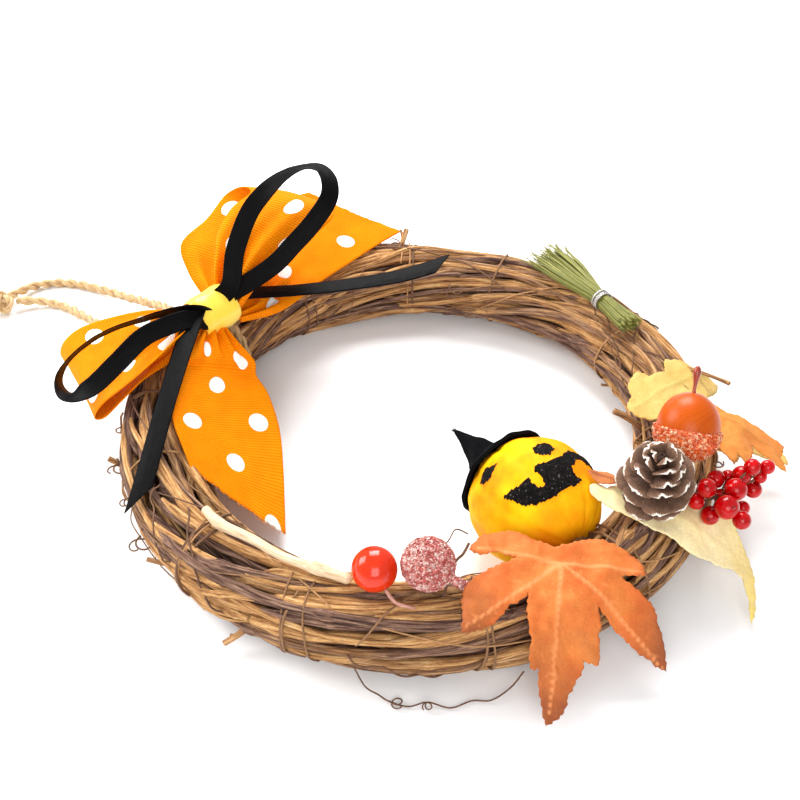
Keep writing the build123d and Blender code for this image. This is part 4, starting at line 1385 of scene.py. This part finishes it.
SUGAR_RELIEF = (0.4, 0.8)
SUGAR_LOOKS = [
    speckled_look(
        "sugared_berry", 1.5, 0,
        ((0.0, (150, 46, 44)), (0.4, (188, 84, 80)), (0.75, (210, 118, 108)), (0.96, (240, 196, 186))),
        SUGAR_RELIEF, Roughness=0.5, Subsurface_Weight=0.15, Subsurface_Scale=0.001,
    ),
    speckled_look(
        "sugar_grains", 1.1, 1, ((0.0, (186, 84, 80)), (0.5, (212, 124, 114)), (0.9, (248, 216, 206))),
        Roughness=0.22, Transmission_Weight=0.35, IOR=1.5,
    ),
]


CUBE_SIDES = ((0, 1, 3, 2), (4, 6, 7, 5), (0, 4, 5, 1), (2, 3, 7, 6), (0, 2, 6, 4), (1, 5, 7, 3))
ENDS = (-0.5, 0.5)


def crystals(shape, centre_of, seed, count, size):
    """Little tumbled sugar grains; centre_of gives a random surface point and its outward direction."""
    chance = random.Random(seed)
    for _ in range(count):
        point, out = centre_of(chance)
        big = size * chance.uniform(0.55, 1.25)
        axis = random_dir(chance)
        turn = Quaternion(axis, chance.uniform(0, 2 * pi)).to_matrix()
        corners = [turn @ (Vector((x, y, z)) * big) for x in ENDS for y in ENDS for z in ENDS]
        first = shape.add_points([point + out * (0.18 * big) + c for c in corners], corners, 0.0)
        for side in CUBE_SIDES:
            shape.add_face(tuple(first + k for k in side), look=1)


def near_points(centres, radius):
    """Picks random places and outward directions at a radius from one of the centres."""
    def pick(chance):
        centre = centres[chance.randrange(len(centres))] if len(centres) > 1 else centres[0]
        out = random_dir(chance)
        return centre + out * radius, out
    return pick


SUGARED_RADIUS = 7.3
sugared_centre = spot(211.3, 82, 35.5)
sugared_shape = Shape()
sugared_shape.ball(
    sugared_centre, SUGARED_RADIUS, rings=36, sides=56,
    bend=lambda d: 1 + 0.02 * sway(d.x * 3, d.y * 3, d.z * 3),
)
crystals(sugared_shape, near_points([sugared_centre], SUGARED_RADIUS + 0.1), 61, 3000, 0.46)
sugared_shape.piece("sugared_berry_ball", SUGAR_LOOKS, "sugared_berry", "sugared_berry", sharp=40)

sugared_stem = Shape()
sugared_stem_line = smooth_path(
    [sugared_centre + spot(285, 6.6, -3.6), sugared_centre + spot(284, 9.4, -5.4), spot(217.6, 85.2, 29.6),
     spot(220, 86, 27)], 0.5,
)
sugared_stem.tube(sugared_stem_line, 1.2, sides=12, ripple=lambda a, s: 1 + 0.2 * sway(cos(a), sin(a), s))
crystals(sugared_stem, near_points(sugared_stem_line, 1.2), 62, 420, 0.42)
sugared_stem.piece("sugared_berry_twig", SUGAR_LOOKS, "sugared_berry", "sugared_berry_stem", sharp=40)

TWIGS = (
    (0.42, 7, ((214, 87, 27), (216.5, 80.5, 33), (219, 76, 32), (221, 72, 31.5))),
    (0.22, 6, ((213.5, 80, 39), (216, 74, 36), (218, 71, 37), (221, 70.5, 34))),
)
twig_shape = Shape()
for radius, sides, route in TWIGS:
    twig_shape.tube(smooth_path([spot(*place) for place in route], 0.5), radius, sides=sides)
twig_shape.piece("dark_twigs", TENDRIL, "tendril")

# ---- fabric leaves -----------------------------------------------------------------------------
def leaf_look(name, low, high, vein, edge=None, edge_from=None):
    """Printed leaf cloth: colours drift over it, tone marks its veins, and edge_from is where an edge colour
    starts, in millimetres from the flat leaf's middle.
    """
    look = Look(
        name, Roughness=0.7, Specular_IOR_Level=0.3, Subsurface_Weight=0.08, Subsurface_Scale=0.001
    )
    drift = look.noise(look.lay((0.07, 0.07, 1)), detail=4)
    weaves = [look.noise(look.lay(scale), detail=2) for scale in ((5.0, 0.9, 1), (0.9, 5.0, 1))]
    cloth = look.math("ADD", *weaves)
    base = look.ramp(drift, (0.32, low), (0.68, high))
    if edge_from is not None:
        cloud = look.math("MULTIPLY", look.noise(look.lay((0.08, 0.08, 1)), detail=4), 26)
        out = look.node("VectorMath", {0: look.lay()}, operation="LENGTH").outputs["Value"]
        reach = look.math("ADD", out, cloud)
        base = look.mix(look.step(reach, edge_from + 16, edge_from + 32, 0, 0.85), base, edge)
    elif edge:
        cloud = look.noise(look.lay((0.065, 0.065, 1)), detail=3)
        base = look.mix(look.step(cloud, 0.48, 0.72, 0, 0.8), base, edge)
    base = look.mix(look.step(cloth, 0.75, 1.25, 0.3, 0.0), base, (150, 70, 20), "MULTIPLY")
    look.set(Base_Color=look.mix(look.step(look.tone(), 0.15, 0.9, 0, 0.85), base, vein))
    look.bump(cloth, 0.12, 0.7)
    return look.material


def segment_distance(x, y, a, b):
    """Distance from a flat point to a run between two others, and the nearest point's share along it."""
    dx, dy = b[0] - a[0], b[1] - a[1]
    share = clamp(((x - a[0]) * dx + (y - a[1]) * dy) / (dx * dx + dy * dy))
    return hypot(x - a[0] - dx * share, y - a[1] - dy * share), share


def serrate(outline, tooth, depth, seed):
    """Leaf edge: the outline's curve with small teeth that point along it."""
    made = []
    for i in range(len(outline)):
        a, b = Vector(outline[i]), Vector(outline[(i + 1) % len(outline)])
        run = (b - a).length
        steps = max(2, int(run / 0.6))
        out = Vector((b.y - a.y, a.x - b.x)).normalized()
        for k in range(steps):
            t = k / steps
            bulge = 0.045 * run * sin(pi * t)
            tooth_share = (t * run / tooth + 0.3 * sway(i, seed)) % 1.0
            stand = depth * (tooth_share - 0.4) * min(1, 6 * t * (1 - t) + 0.15)
            made.append(a.lerp(b, t) + out * (bulge + stand))
    return made


VEIN_WIDTH = 0.55
VEIN_HEIGHT = 0.35


def leaf_mesh(outline, veins, surface, spacing, ripple, seed):
    """Cloth leaf: outline and veins are flat, surface puts a flat point into space."""
    shape = Shape()
    low_x, high_x = min(p.x for p in outline), max(p.x for p in outline)
    low_y, high_y = min(p.y for p in outline), max(p.y for p in outline)
    flat = list(outline)
    ring = [tuple(p) for p in outline]
    least_gap = (0.45 * spacing) ** 2
    for i in range(int((high_x - low_x) / spacing) + 1):
        for j in range(int((high_y - low_y) / spacing) + 1):
            x = low_x + spacing * (i + 0.5 * (j % 2))
            y = low_y + spacing * j
            if inside(ring, x, y) and min((x - p[0]) ** 2 + (y - p[1]) ** 2 for p in ring) > least_gap:
                flat.append(Vector((x, y)))
    edges = [(i, (i + 1) % len(outline)) for i in range(len(outline))]
    points, _, faces, _, _, _ = delaunay_2d_cdt(flat, edges, [], 1, 1e-4)
    made, lay, tones = [], [], []
    for p in points:
        mark, height = 0.0, 0.0
        for a, b, strength in veins:
            gap, share = segment_distance(p.x, p.y, a, b)
            wide = VEIN_WIDTH * strength * (1.15 - 0.6 * share)
            mark = max(mark, strength * exp(-((gap / wide) ** 2)))
            height = max(height, strength * exp(-((gap / (2.2 * wide)) ** 2)))
        puff = ripple * sway(p.x * 0.13, p.y * 0.13, seed)
        puff += 0.35 * ripple * sway(p.x * 0.4, p.y * 0.4, seed + 5)
        made.append(surface(p.x, p.y, VEIN_HEIGHT * height + puff))
        lay.append(Vector((p.x, p.y, 0)))
        tones.append(mark)
    first = shape.add_points(made, lay, tones)
    for face in faces:
        shape.add_face(tuple(first + k for k in face))
    return shape


def over_ring(angle, section):
    """Surface over the ring: height follows section along x, and lift is square to it."""
    place = Frame(spot(angle, RING_RADIUS, 0), spot(angle, 1, 0), UP)
    xs = [Vector((s, h, 0)) for s, h in section]

    def surface(x, y, lift):
        index = 0
        while index < len(section) - 2 and section[index + 1][0] < x:
            index += 1
        span = section[index + 1][0] - section[index][0]
        share = (index + clamp((x - section[index][0]) / span, -0.5, 1.5)) / (len(section) - 1)
        height = on_curve(xs, share).y
        rise = on_curve(xs, min(share + 0.02, 1)) - on_curve(xs, max(share - 0.02, 0))
        normal = Vector((-rise.y / max(rise.x, 0.1), 1)).normalized()
        return place.at(x + normal.x * lift, y, height + normal.y * lift)

    return surface


def branch(a, b, count, reach):
    """A main vein with slanting side veins on both sides of it, as (start, end, strength)."""
    made = [(a, b, 1.0)]
    dx, dy = b[0] - a[0], b[1] - a[1]
    length = hypot(dx, dy)
    dx, dy = dx / length, dy / length
    for k in range(count):
        share = (k + 0.8) / (count + 0.6)
        size = reach * (1 - 0.75 * share)
        for sign in (-1, 1):
            foot = (a[0] + dx * length * share, a[1] + dy * length * share)
            end_x = foot[0] + size * (0.75 * dx - sign * 0.66 * dy)
            end_y = foot[1] + size * (0.75 * dy + sign * 0.66 * dx)
            made.append((foot, (end_x, end_y), 0.45))
    return made


def leaf(
    name, material, slot, node, outline, tooth, veins, angle, section, ripple, seeds, spacing=0.9, thick=0.35
):
    """Leaf piece over the ring at an angle. tooth is the edge's tooth length and depth; seeds are the edge's
    and the cloth's.
    """
    edge = serrate(outline, *tooth, seeds[0])
    shape = leaf_mesh(edge, veins, over_ring(angle, section), spacing, ripple, seeds[1])
    return shape.piece(name, material, slot, node, thickness=thick)


# Sections are (place outwards from the ring's middle, height) and outlines (outwards, round the ring).
MAPLE_SECTION = ((-30, 36), (-12, 33.5), (0, 31), (11, 26.5), (19, 18.5), (30, 8.5), (42, 2))
MAPLE_OUTLINE = (
    (-13, -22), (-10, -20), (-9, -15), (-5, -11), (-5, -14), (-5, -23), (-3, -29), (5, -34), (8, -36),
    (9, -28), (8, -24), (6, -20), (6, -16), (5, -13), (12, -17), (15, -18), (20, -21), (21, -18), (24, -20),
    (32, -22), (31, -16), (28, -13), (26, -9), (23, -5), (25, -1), (22, 1), (19, 2), (16, 4), (12, 4),
    (17, 6), (22, 9), (25, 11), (28, 14), (32, 18), (26, 20), (22, 20), (19, 21), (16, 19), (12, 16), (9, 14),
    (11, 18), (12, 22), (8, 22), (4, 20), (1, 17), (-2, 13), (-3, 9), (-3, 5), (-4, 1), (-9, -4), (-13, -7),
    (-15, -12), (-15, -17),
)
MAPLE_HEART = (1, 0)
maple_veins = []
for vein_tip, count in (((-12, -20), 4), ((7, -34), 5), ((30, -20), 6), ((31, 17), 6), ((11, 21), 4)):
    maple_veins += branch(MAPLE_HEART, vein_tip, count, 8.5)
maple_look = leaf_look(
    "maple_fabric", (206, 98, 36), (224, 134, 62), (226, 146, 88), edge=(142, 76, 40), edge_from=17
)
maple = leaf(
    "maple_leaf_cloth", maple_look, "maple_fabric", "maple_leaf",
    MAPLE_OUTLINE, (2.2, 0.6), maple_veins, 237, MAPLE_SECTION, 1.1, (1, 2),
)

PALE_SECTION = ((-30, 40), (-17, 36.5), (-8, 32.5), (0, 29.6), (11, 25), (18, 18), (28, 9.5), (42, 2.5))
PALE_OUTLINE = (
    (-15, -11), (-13, -13), (-2, -10), (9, -6), (17, -2), (21, 2), (27, 8), (30, 8), (35, 4), (39, -2),
    (37, 4), (34, 9), (30, 14), (26, 17), (22, 19), (20, 21), (17, 17), (11, 11), (4, 6), (-5, 0), (-8, 1),
    (-10, -4), (-11, -7), (-14, -8),
)
pale_look = leaf_look(
    "pale_leaf_fabric", (248, 228, 164), (253, 240, 192), (242, 220, 158), edge=(240, 210, 84), edge_from=22
)
pale_leaf = leaf(
    "pale_leaf_cloth", pale_look, "pale_leaf_fabric", "pale_leaf",
    PALE_OUTLINE, (3.0, 0.4), branch((-13, -10), (28, 13), 7, 12), 263, PALE_SECTION, 0.6, (2, 5),
)

YELLOW_SECTION = ((-30, 30), (-12, 29), (0, 28.4), (11, 24.6), (18, 17.5), (30, 10.5))
YELLOW_OUTLINE = (
    (-19, -14), (-17, -18), (-12, -20), (-4, -17), (4, -12), (11, -5), (19, 9), (9, 10), (5, 12), (0, 12),
    (-2, 4), (-8, 2), (-12, 4), (-16, -2), (-16, -8),
)
YELLOW_LOBE = (
    (35, -25), (35, -19), (29, -15), (24, -14), (15, -21), (7, -27), (3, -33), (8, -33), (12, -36), (15, -30),
    (22, -22), (29, -22),
)
YELLOW_CLOTH = leaf_look("yellow_leaf_fabric", (206, 168, 84), (218, 188, 110), (168, 150, 76))
yellow = leaf(
    "yellow_leaf_cloth", YELLOW_CLOTH, "yellow_leaf_fabric", "yellow_leaf",
    YELLOW_OUTLINE, (2.4, 0.5), branch((-17, -15), (15, 9), 6, 9), 304, YELLOW_SECTION, 0.7, (3, 8),
)
lobe = leaf(
    "yellow_leaf_side_lobe", YELLOW_CLOTH, "yellow_leaf_fabric", None,
    YELLOW_LOBE, (2.4, 0.4), branch((5, -31), (33, -21), 5, 6), 304, YELLOW_SECTION, 0.5, (3, 9),
)

GOLD_SECTION = ((-10, 31.5), (6, 30.7), (16, 28.2), (26, 23.2), (38, 15.2))
GOLD_OUTLINE = (
    (6, 1), (7, -13), (11, -15), (16, -20), (17, -15), (20, -18), (23, -7), (26, -9), (35, -9), (33, -4),
    (35, 3), (30, 3), (23, 4), (15, 3), (10, 6),
)
gold_leaf_look = leaf_look(
    "gold_leaf_fabric", (216, 124, 44), (236, 162, 74), (186, 112, 40), edge=(198, 112, 46)
)
gold_leaf = leaf(
    "gold_leaf_cloth", gold_leaf_look, "gold_leaf_fabric", "gold_leaf",
    GOLD_OUTLINE, (2.4, 0.5), branch((3, 1), (34, -4), 6, 8), 292, GOLD_SECTION, 0.6, (4, 11), thick=0.3,
)

BROWN_SECTION = ((-24, 37.2), (-10, 35.2), (4, 32.7))
BROWN_OUTLINE = ((-18, 4.4), (-15.6, 3.8), (-13, 4), (-10.4, 6.8), (-9.2, 10.1), (-12.6, 9.5), (-15.6, 7.5))
leaf(
    "brown_leaf_cloth", leaf_look("brown_leaf_fabric", (166, 88, 42), (206, 128, 72), (140, 70, 34)),
    "brown_leaf_fabric", "brown_leaf_tip", BROWN_OUTLINE, (2.0, 0.3), branch((-17, 5), (-10, 9), 2, 2),
    253.5, BROWN_SECTION, 0.4, (5, 14), spacing=0.6, thick=0.3,
)

# ---- the acorn ---------------------------------------------------------------------------------
ACORN_AXIS = Vector((16.3, 4.8, 26)).normalized()
ACORN_FOOT = Vector((8.2, -88.4, 32.6))
acorn_first, acorn_second = square_frame(ACORN_AXIS, Vector((1, 0, 0)))


def spun(profile, columns, bend=None, foot=ACORN_FOOT, axis=ACORN_AXIS):
    """Form turned about an axis from (radius, height) points; bend adds to the radius."""
    first, second = square_frame(axis, Vector((1, 0, 0)))
    line = smooth_path([Vector((r, h, 0)) for r, h in profile], 0.35)

    def place(i, j):
        turn, p = 2 * pi * j / columns, line[i]
        radius = max(p.x + (bend(turn, p.y) if bend else 0), 0.02)
        point = foot + axis * p.y + round_dir(turn, first, second) * radius
        return point, Vector((p.x * 2 * pi * j / columns, p.y, 0))

    shape = Shape()
    shape.lattice(len(line), columns, place, around=True)
    return shape


acorn = Look("acorn_lacquer", Roughness=0.36, Specular_IOR_Level=0.22)
acorn_streak = acorn.noise(acorn.lay((1.4, 0.09, 1)), detail=4)
acorn.set(Base_Color=acorn.ramp(acorn_streak, (0.2, (168, 62, 0)), (0.5, (184, 76, 0)), (0.8, (196, 88, 2))))
acorn.bump(acorn.noise(acorn.place(0.35), detail=2), 0.15, 0.25)
NUT_PROFILE = (
    (9.3, 9.0), (9.6, 10.5), (9.3, 13), (8.3, 15.8), (6.6, 18.2), (4.4, 19.9), (2.2, 20.8), (0.1, 21.1),
)
nut_shape = spun(NUT_PROFILE, 96, lambda t, h: 0.06 * sway(2 * cos(t), 2 * sin(t), h * 0.1))
nut_shape.piece("acorn_nut_shell", acorn.material, "acorn_lacquer", "acorn_nut")

CAP_LOOKS = [
    speckled_look(
        "sugared_cap", 1.4, 0,
        ((0.0, (170, 54, 14)), (0.4, (212, 84, 26)), (0.75, (226, 104, 40)), (0.96, (246, 196, 150))),
        SUGAR_RELIEF, Roughness=0.55,
    ),
    speckled_look(
        "orange_sugar_grains", 1.1, 1, ((0.0, (204, 78, 20)), (0.5, (222, 98, 32)), (0.93, (252, 216, 176))),
        Roughness=0.25, Transmission_Weight=0.25, IOR=1.5,
    ),
]
CAP_PROFILE = (
    (0.4, 0.2), (3.4, 0.3), (7.0, 2.2), (9.4, 5.0), (10.3, 8.0), (10.2, 9.6), (9.2, 10.2), (8.2, 9.8),
)
cap_shape = spun(CAP_PROFILE, 80, lambda t, h: 0.12 * sway(4 * cos(t), 4 * sin(t), h * 0.6))


def on_cap(chance):
    """Random place on the cap's outside, up to its rim, and the direction out of it."""
    share = chance.uniform(0.12, 1.0)
    p = on_curve([Vector((r, h, 0)) for r, h in CAP_PROFILE[:7]], share)
    out = round_dir(chance.uniform(0, 2 * pi), acorn_first, acorn_second)
    return ACORN_FOOT + ACORN_AXIS * p.y + out * p.x, (out + ACORN_AXIS * (share - 0.75)).normalized()


crystals(cap_shape, on_cap, 71, 1700, 0.42)
cap_shape.piece("acorn_sugared_cap", CAP_LOOKS, "sugared_cap", "acorn_cap", sharp=40)

TIP_PROFILE = (
    (1.3, 20.4), (0.62, 21.4), (0.55, 23.0), (0.8, 24.8), (1.15, 26.4), (1.2, 27.6), (0.8, 28.8),
    (0.12, 29.4),
)
tip_look = grained_look(
    "acorn_tip", 0.3, 4.0, ((0.3, (118, 32, 8)), (0.7, (168, 56, 16))), Roughness=0.35, Coat_Weight=0.3
)
spun(TIP_PROFILE, 24).piece("acorn_drop_tip", tip_look, "acorn_tip", "acorn_tip")

# ---- the pine cone -----------------------------------------------------------------------------
scale_look = Look("cone_scale", Roughness=0.8)
scale_grain = scale_look.noise(scale_look.lay((2.6, 0.35, 1)), detail=5)
rim_share = scale_look.math("ADD", scale_look.tone(), scale_look.math("MULTIPLY", scale_grain, 0.45))
scale_look.set(Base_Color=scale_look.mix(
    scale_look.step(rim_share, 1.02, 1.2),
    scale_look.mix(
        scale_look.step(scale_look.tone(), 0.0, 0.75),
        scale_look.ramp(scale_grain, (0.3, (46, 28, 18)), (0.7, (92, 62, 44))),
        scale_look.ramp(scale_grain, (0.3, (92, 60, 42)), (0.7, (146, 108, 82))),
    ),
    scale_look.ramp(scale_grain, (0.3, (226, 212, 196)), (0.7, (252, 248, 240))),
))
scale_look.bump(scale_grain, 0.25, 0.8)
SCALE = scale_look.material

cone_axis = spot(200, sin(radians(12)), cos(radians(12)))
cone_foot = Vector((-8.6, -85.4, 32.3))
cone_first, cone_second = square_frame(cone_axis, Vector((1, 0, 0)))
CORE_PROFILE = ((0.3, -0.4), (3.0, -0.2), (4.2, 1), (4.0, 6), (3.2, 11), (2.4, 15), (1.6, 18), (0.3, 19))
core_shape = spun(
    CORE_PROFILE, 30, lambda t, h: 0.4 * sway(2 * cos(t), 2 * sin(t), h * 0.7), cone_foot, cone_axis
)
core_shape.piece("pinecone_heart", SCALE, "cone_scale", "pinecone_core")

# Rows of scales: height, length of a scale, its lift in degrees, and how many go round.
SCALE_ROWS = (
    (1.6, 8.0, 4, 8), (4.6, 8.5, 15, 8), (7.8, 8.2, 28, 7), (11.0, 7.2, 43, 6), (14.0, 5.8, 58, 5),
    (16.6, 4.4, 72, 4),
)
scales_shape = Shape()
chance = random.Random(81)
for row_number, (height, length, lift, count) in enumerate(SCALE_ROWS):
    core = 4.1 - 2.4 * height / 18
    for i in range(count):
        turn = 2 * pi * (i + 0.5 * (row_number % 2)) / count + chance.uniform(-0.17, 0.17)
        out = round_dir(turn, cone_first, cone_second)
        aside = cone_axis.cross(out)
        lean = radians(lift + chance.uniform(-10, 8))
        along = out * cos(lean) + cone_axis * sin(lean)
        over = along.cross(aside) * -1
        reach = length * chance.uniform(0.88, 1.1)
        half = min(4.6, pi * (core + reach * cos(lean)) / count * 1.08)
        wave = chance.uniform(0, 6)
        root = cone_foot + cone_axis * height + out * (core - 0.6)
        top, under, top_lay, tones = [], [], [], []
        for k in range(11):
            t = k / 10
            rounding = sqrt(max(1 - ((t - 0.72) / 0.29) ** 2, 0.03) if t > 0.72 else 1)
            wide = half * (0.38 + 0.62 * sin(pi * min(t * 0.62 + 0.08, 0.5))) * rounding
            row_top, row_under, row_lay, row_tone = [], [], [], []
            for m in range(11):
                s = m / 5 - 1
                cup = 0.13 * half * s * s + 0.9 * t**3 * (length / 8)
                thick = 0.28 + 0.75 * t * (1 - abs(s)) ** 0.7 * (1 if t < 0.93 else 0.6)
                cup += 0.35 * t * t * sin(3.6 * s + wave)
                place = root + along * (reach * (t - 0.05 * s * s * t)) + aside * (wide * s) + over * cup
                row_top.append(place + over * (thick * 0.35))
                row_under.append(place - over * thick * 0.65)
                row_lay.append(Vector((wide * s, reach * t, 0)))
                side_rim = 0.6 * ease((abs(s) - 0.9) / 0.1) * ease(t / 0.7)
                row_tone.append(0.15 + 0.35 * t + 0.5 * max(ease((t - 0.92) / 0.08), side_rim))
            top.append(row_top)
            under.append(row_under)
            top_lay.append(row_lay)
            tones.append(row_tone)
        loops = [a + b[::-1] for a, b in zip(top, under)]
        loops_lay = [a + a[::-1] for a in top_lay]
        loops_tone = [a + [0.6 * v if k < 8 else v for v in a[::-1]] for k, a in enumerate(tones)]
        first = scales_shape.grid(loops, loops_lay, loops_tone, around=True)
        size = len(loops[0])
        scales_shape.add_face(tuple(first + k for k in range(size))[::-1])
        scales_shape.add_face(tuple(first + 10 * size + k for k in range(size)))
scales_shape.piece("pinecone_scale_rows", SCALE, "cone_scale", "pinecone_scales", sharp=55)

# ---- the red berry cluster ---------------------------------------------------------------------
# Berries of the cluster: along it, across it, up, and radius.
CLUSTER_BERRIES = (
    (-7, -1.5, 3, 2.75), (-1.5, -6.5, 0, 3.4), (2.5, 0.5, 0.5, 3.2), (-5, -4, -6, 2.7),
    (3.5, -7.5, -4.5, 2.6), (9.5, 5, -4, 2.5), (7.5, 5, 5.5, 2.4), (12.5, 6, 4.5, 2.1), (5.5, 6.5, 0.5, 2.8),
    (-2, 6.5, -1, 2.6), (2.5, 9, -3, 2.3), (-9.5, -2, -2, 2.4), (6.5, 2, -9, 2.1), (11, 6, 0.5, 2.0),
    (-0.5, 3, -5, 2.2),
)
cluster_root = Vector((3.5, -104.5, 31))
cluster_along, cluster_across = spot(-60, 1, 0), spot(30, 1, 0)


def cluster_point(along, across, up):
    """Place in the cluster's own frame."""
    return cluster_root + cluster_along * along + cluster_across * across + UP * up


red = Look("red_lacquer", Roughness=0.16, Coat_Weight=0.2, Coat_Roughness=0.06, Specular_IOR_Level=0.2)
red_drift = red.noise(red.place(0.25), detail=3)
red_base = red.ramp(red_drift, (0.3, (150, 0, 4)), (0.55, (182, 0, 6)), (0.78, (200, 4, 10)))
red.set(Base_Color=red.mix(red.step(red.tone(), 0.3, 0.7), red_base, (160, 4, 8)))
red.bump(red.noise(red.place(0.9), detail=2), 0.1, 0.35)
berries_shape = Shape()
stalks_shape = Shape()
chance = random.Random(91)
stalk_root = cluster_point(-2, 2, -4)
for along, across, up, radius in CLUSTER_BERRIES:
    centre = cluster_point(along, across, up)
    outwards = (centre - stalk_root).normalized()
    facing = (outwards + Vector((chance.uniform(-0.4, 0.4), chance.uniform(-0.4, 0.4), 0.5))).normalized()

    def dimpled(direction, facing=facing):
        return 1 - 0.02 * exp(-((acos(clamp(direction.dot(facing), -1, 1)) / 0.16) ** 2))

    first = len(berries_shape.points)
    berries_shape.ball(centre, 1.08 * radius, rings=24, sides=32, axis=facing, bend=dimpled)
    for k in range(first, len(berries_shape.points)):
        lean = acos(clamp((berries_shape.points[k] - centre).normalized().dot(facing), -1, 1))
        berries_shape.tone[k] = 1.0 - ease((lean - 0.12) / 0.14)
    middle = stalk_root.lerp(centre, 0.5) + Vector((0, 0, -0.8))
    stalk_line = smooth_path([stalk_root, middle, centre - outwards * (radius * 0.6)], 0.5)
    stalks_shape.tube(stalk_line, 0.32, sides=7)
berries_shape.piece("red_berries", red.material, "red_lacquer", "cluster_berries")
stem_points = [cluster_point(-12, 2, -1.5), cluster_point(-7, 1.5, -2.5), stalk_root]
stalks_shape.tube(smooth_path(stem_points, 0.5), 0.5)
curl_line = [
    cluster_point(-2 + 1.6 * cos(t * 1.1), 7.5 + 1.6 * sin(t * 1.1), 3.4 + 0.25 * t) for t in range(7)
]
stalks_shape.tube(smooth_path(curl_line, 0.3), 0.22, sides=6)
stalks_shape.piece("berry_stalks", TENDRIL, "tendril", "cluster_stem")

# ---- the straw broom ---------------------------------------------------------------------------
straw = Look("green_straw", Roughness=0.6)
straw_grain = straw.noise(straw.lay((4, 4, 0.25)), detail=4)
straw.set(Base_Color=straw.mix(
    straw.tone(),
    straw.ramp(straw_grain, (0.3, (72, 76, 22)), (0.7, (116, 120, 40))),
    straw.ramp(straw_grain, (0.3, (112, 110, 40)), (0.7, (168, 162, 78))),
))
straw.bump(straw_grain, 0.15, 0.6)
FAN_LENGTH = 40
broom_tie = Vector((75, -33.5, 30.8))
broom_heading = spot(60, 1, 0)
broom_side = broom_heading.cross(UP)
broom_shape = Shape()
chance = random.Random(97)
for _ in range(210):
    turn = chance.uniform(0, 2 * pi)
    reach = sqrt(chance.random())
    side, rise = reach * cos(turn), reach * sin(turn)
    fan_length = FAN_LENGTH * chance.uniform(0.72, 1.0)
    short_length = 18 * chance.uniform(0.75, 1.0)
    at_tie = broom_tie + broom_side * (2.7 * side) + UP * (2.7 * rise)
    fan_side = 9.5 * side * fan_length / FAN_LENGTH + chance.uniform(-0.8, 0.8)
    fan_end = broom_tie + broom_heading * fan_length + broom_side * fan_side
    fan_end += UP * (3.0 * rise + chance.uniform(-0.5, 0.5) - 0.8)
    short_end = broom_tie - broom_heading * short_length + broom_side * (4.2 * side) + UP * (2.6 * rise)
    middle = at_tie.lerp(fan_end, 0.5) + UP * 0.5 + broom_side * (0.6 * side)
    near_end = middle.lerp(fan_end, 0.62)
    fan_end += broom_side * chance.uniform(-2.2, 2.2) + UP * chance.uniform(-0.8, 0.6)
    inner, outer = at_tie - broom_heading * 3, at_tie + broom_heading * 3
    line = smooth_path([short_end, inner, outer, middle, near_end, fan_end], 1.4)
    thick = chance.uniform(0.22, 0.42)
    broom_shape.tube(
        line, lambda s, w=thick, n=fan_length + short_length: w * clamp((n - s) / 16 + 0.25), sides=6,
        tone=chance.random() ** 1.5, flat=chance.uniform(0.5, 1),
    )
broom_shape.piece("straw_bundle", straw.material, "green_straw", "straw_broom")

thread = Look("silver_thread", Metallic=0.7, Roughness=0.35)
thread_grain = thread.noise(thread.lay((6, 6, 2)))
thread.set(Base_Color=thread.ramp(thread_grain, (0.3, (140, 136, 134)), (0.7, (226, 222, 220))))
thread.bump(thread.noise(thread.lay((8, 8, 3))), 0.1, 0.8)
BROOM_TIE_RADIUS = 3.35
TIE_STEPS = 180
tie_shape = Shape()
tie_line = []
for i in range(TIE_STEPS + 1):
    turn = radians(i * 9)
    along = -1.5 + 3 * i / TIE_STEPS + 0.3 * sin(turn * 0.37)
    tie_line.append(broom_tie + broom_heading * along + round_dir(turn, broom_side, UP) * BROOM_TIE_RADIUS)
tie_line += [tie_line[-1] + broom_side * 1.5 + UP * 0.8, tie_line[-1] + broom_side * 3.5 - broom_heading * 2]
tie_shape.tube(tie_line, 0.28, sides=7, ripple=lambda a, s: 1 + 0.2 * sin(3 * a + s * 5))
tie_shape.piece("silver_thread_turns", thread.material, "silver_thread", "straw_tie")

# ---- the CAD piece that stays as it is ----------------------------------------------------------
bow_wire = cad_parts["bow_wire"]
bow_wire.data.materials.clear()
bow_wire.data.materials.append(WIRE)
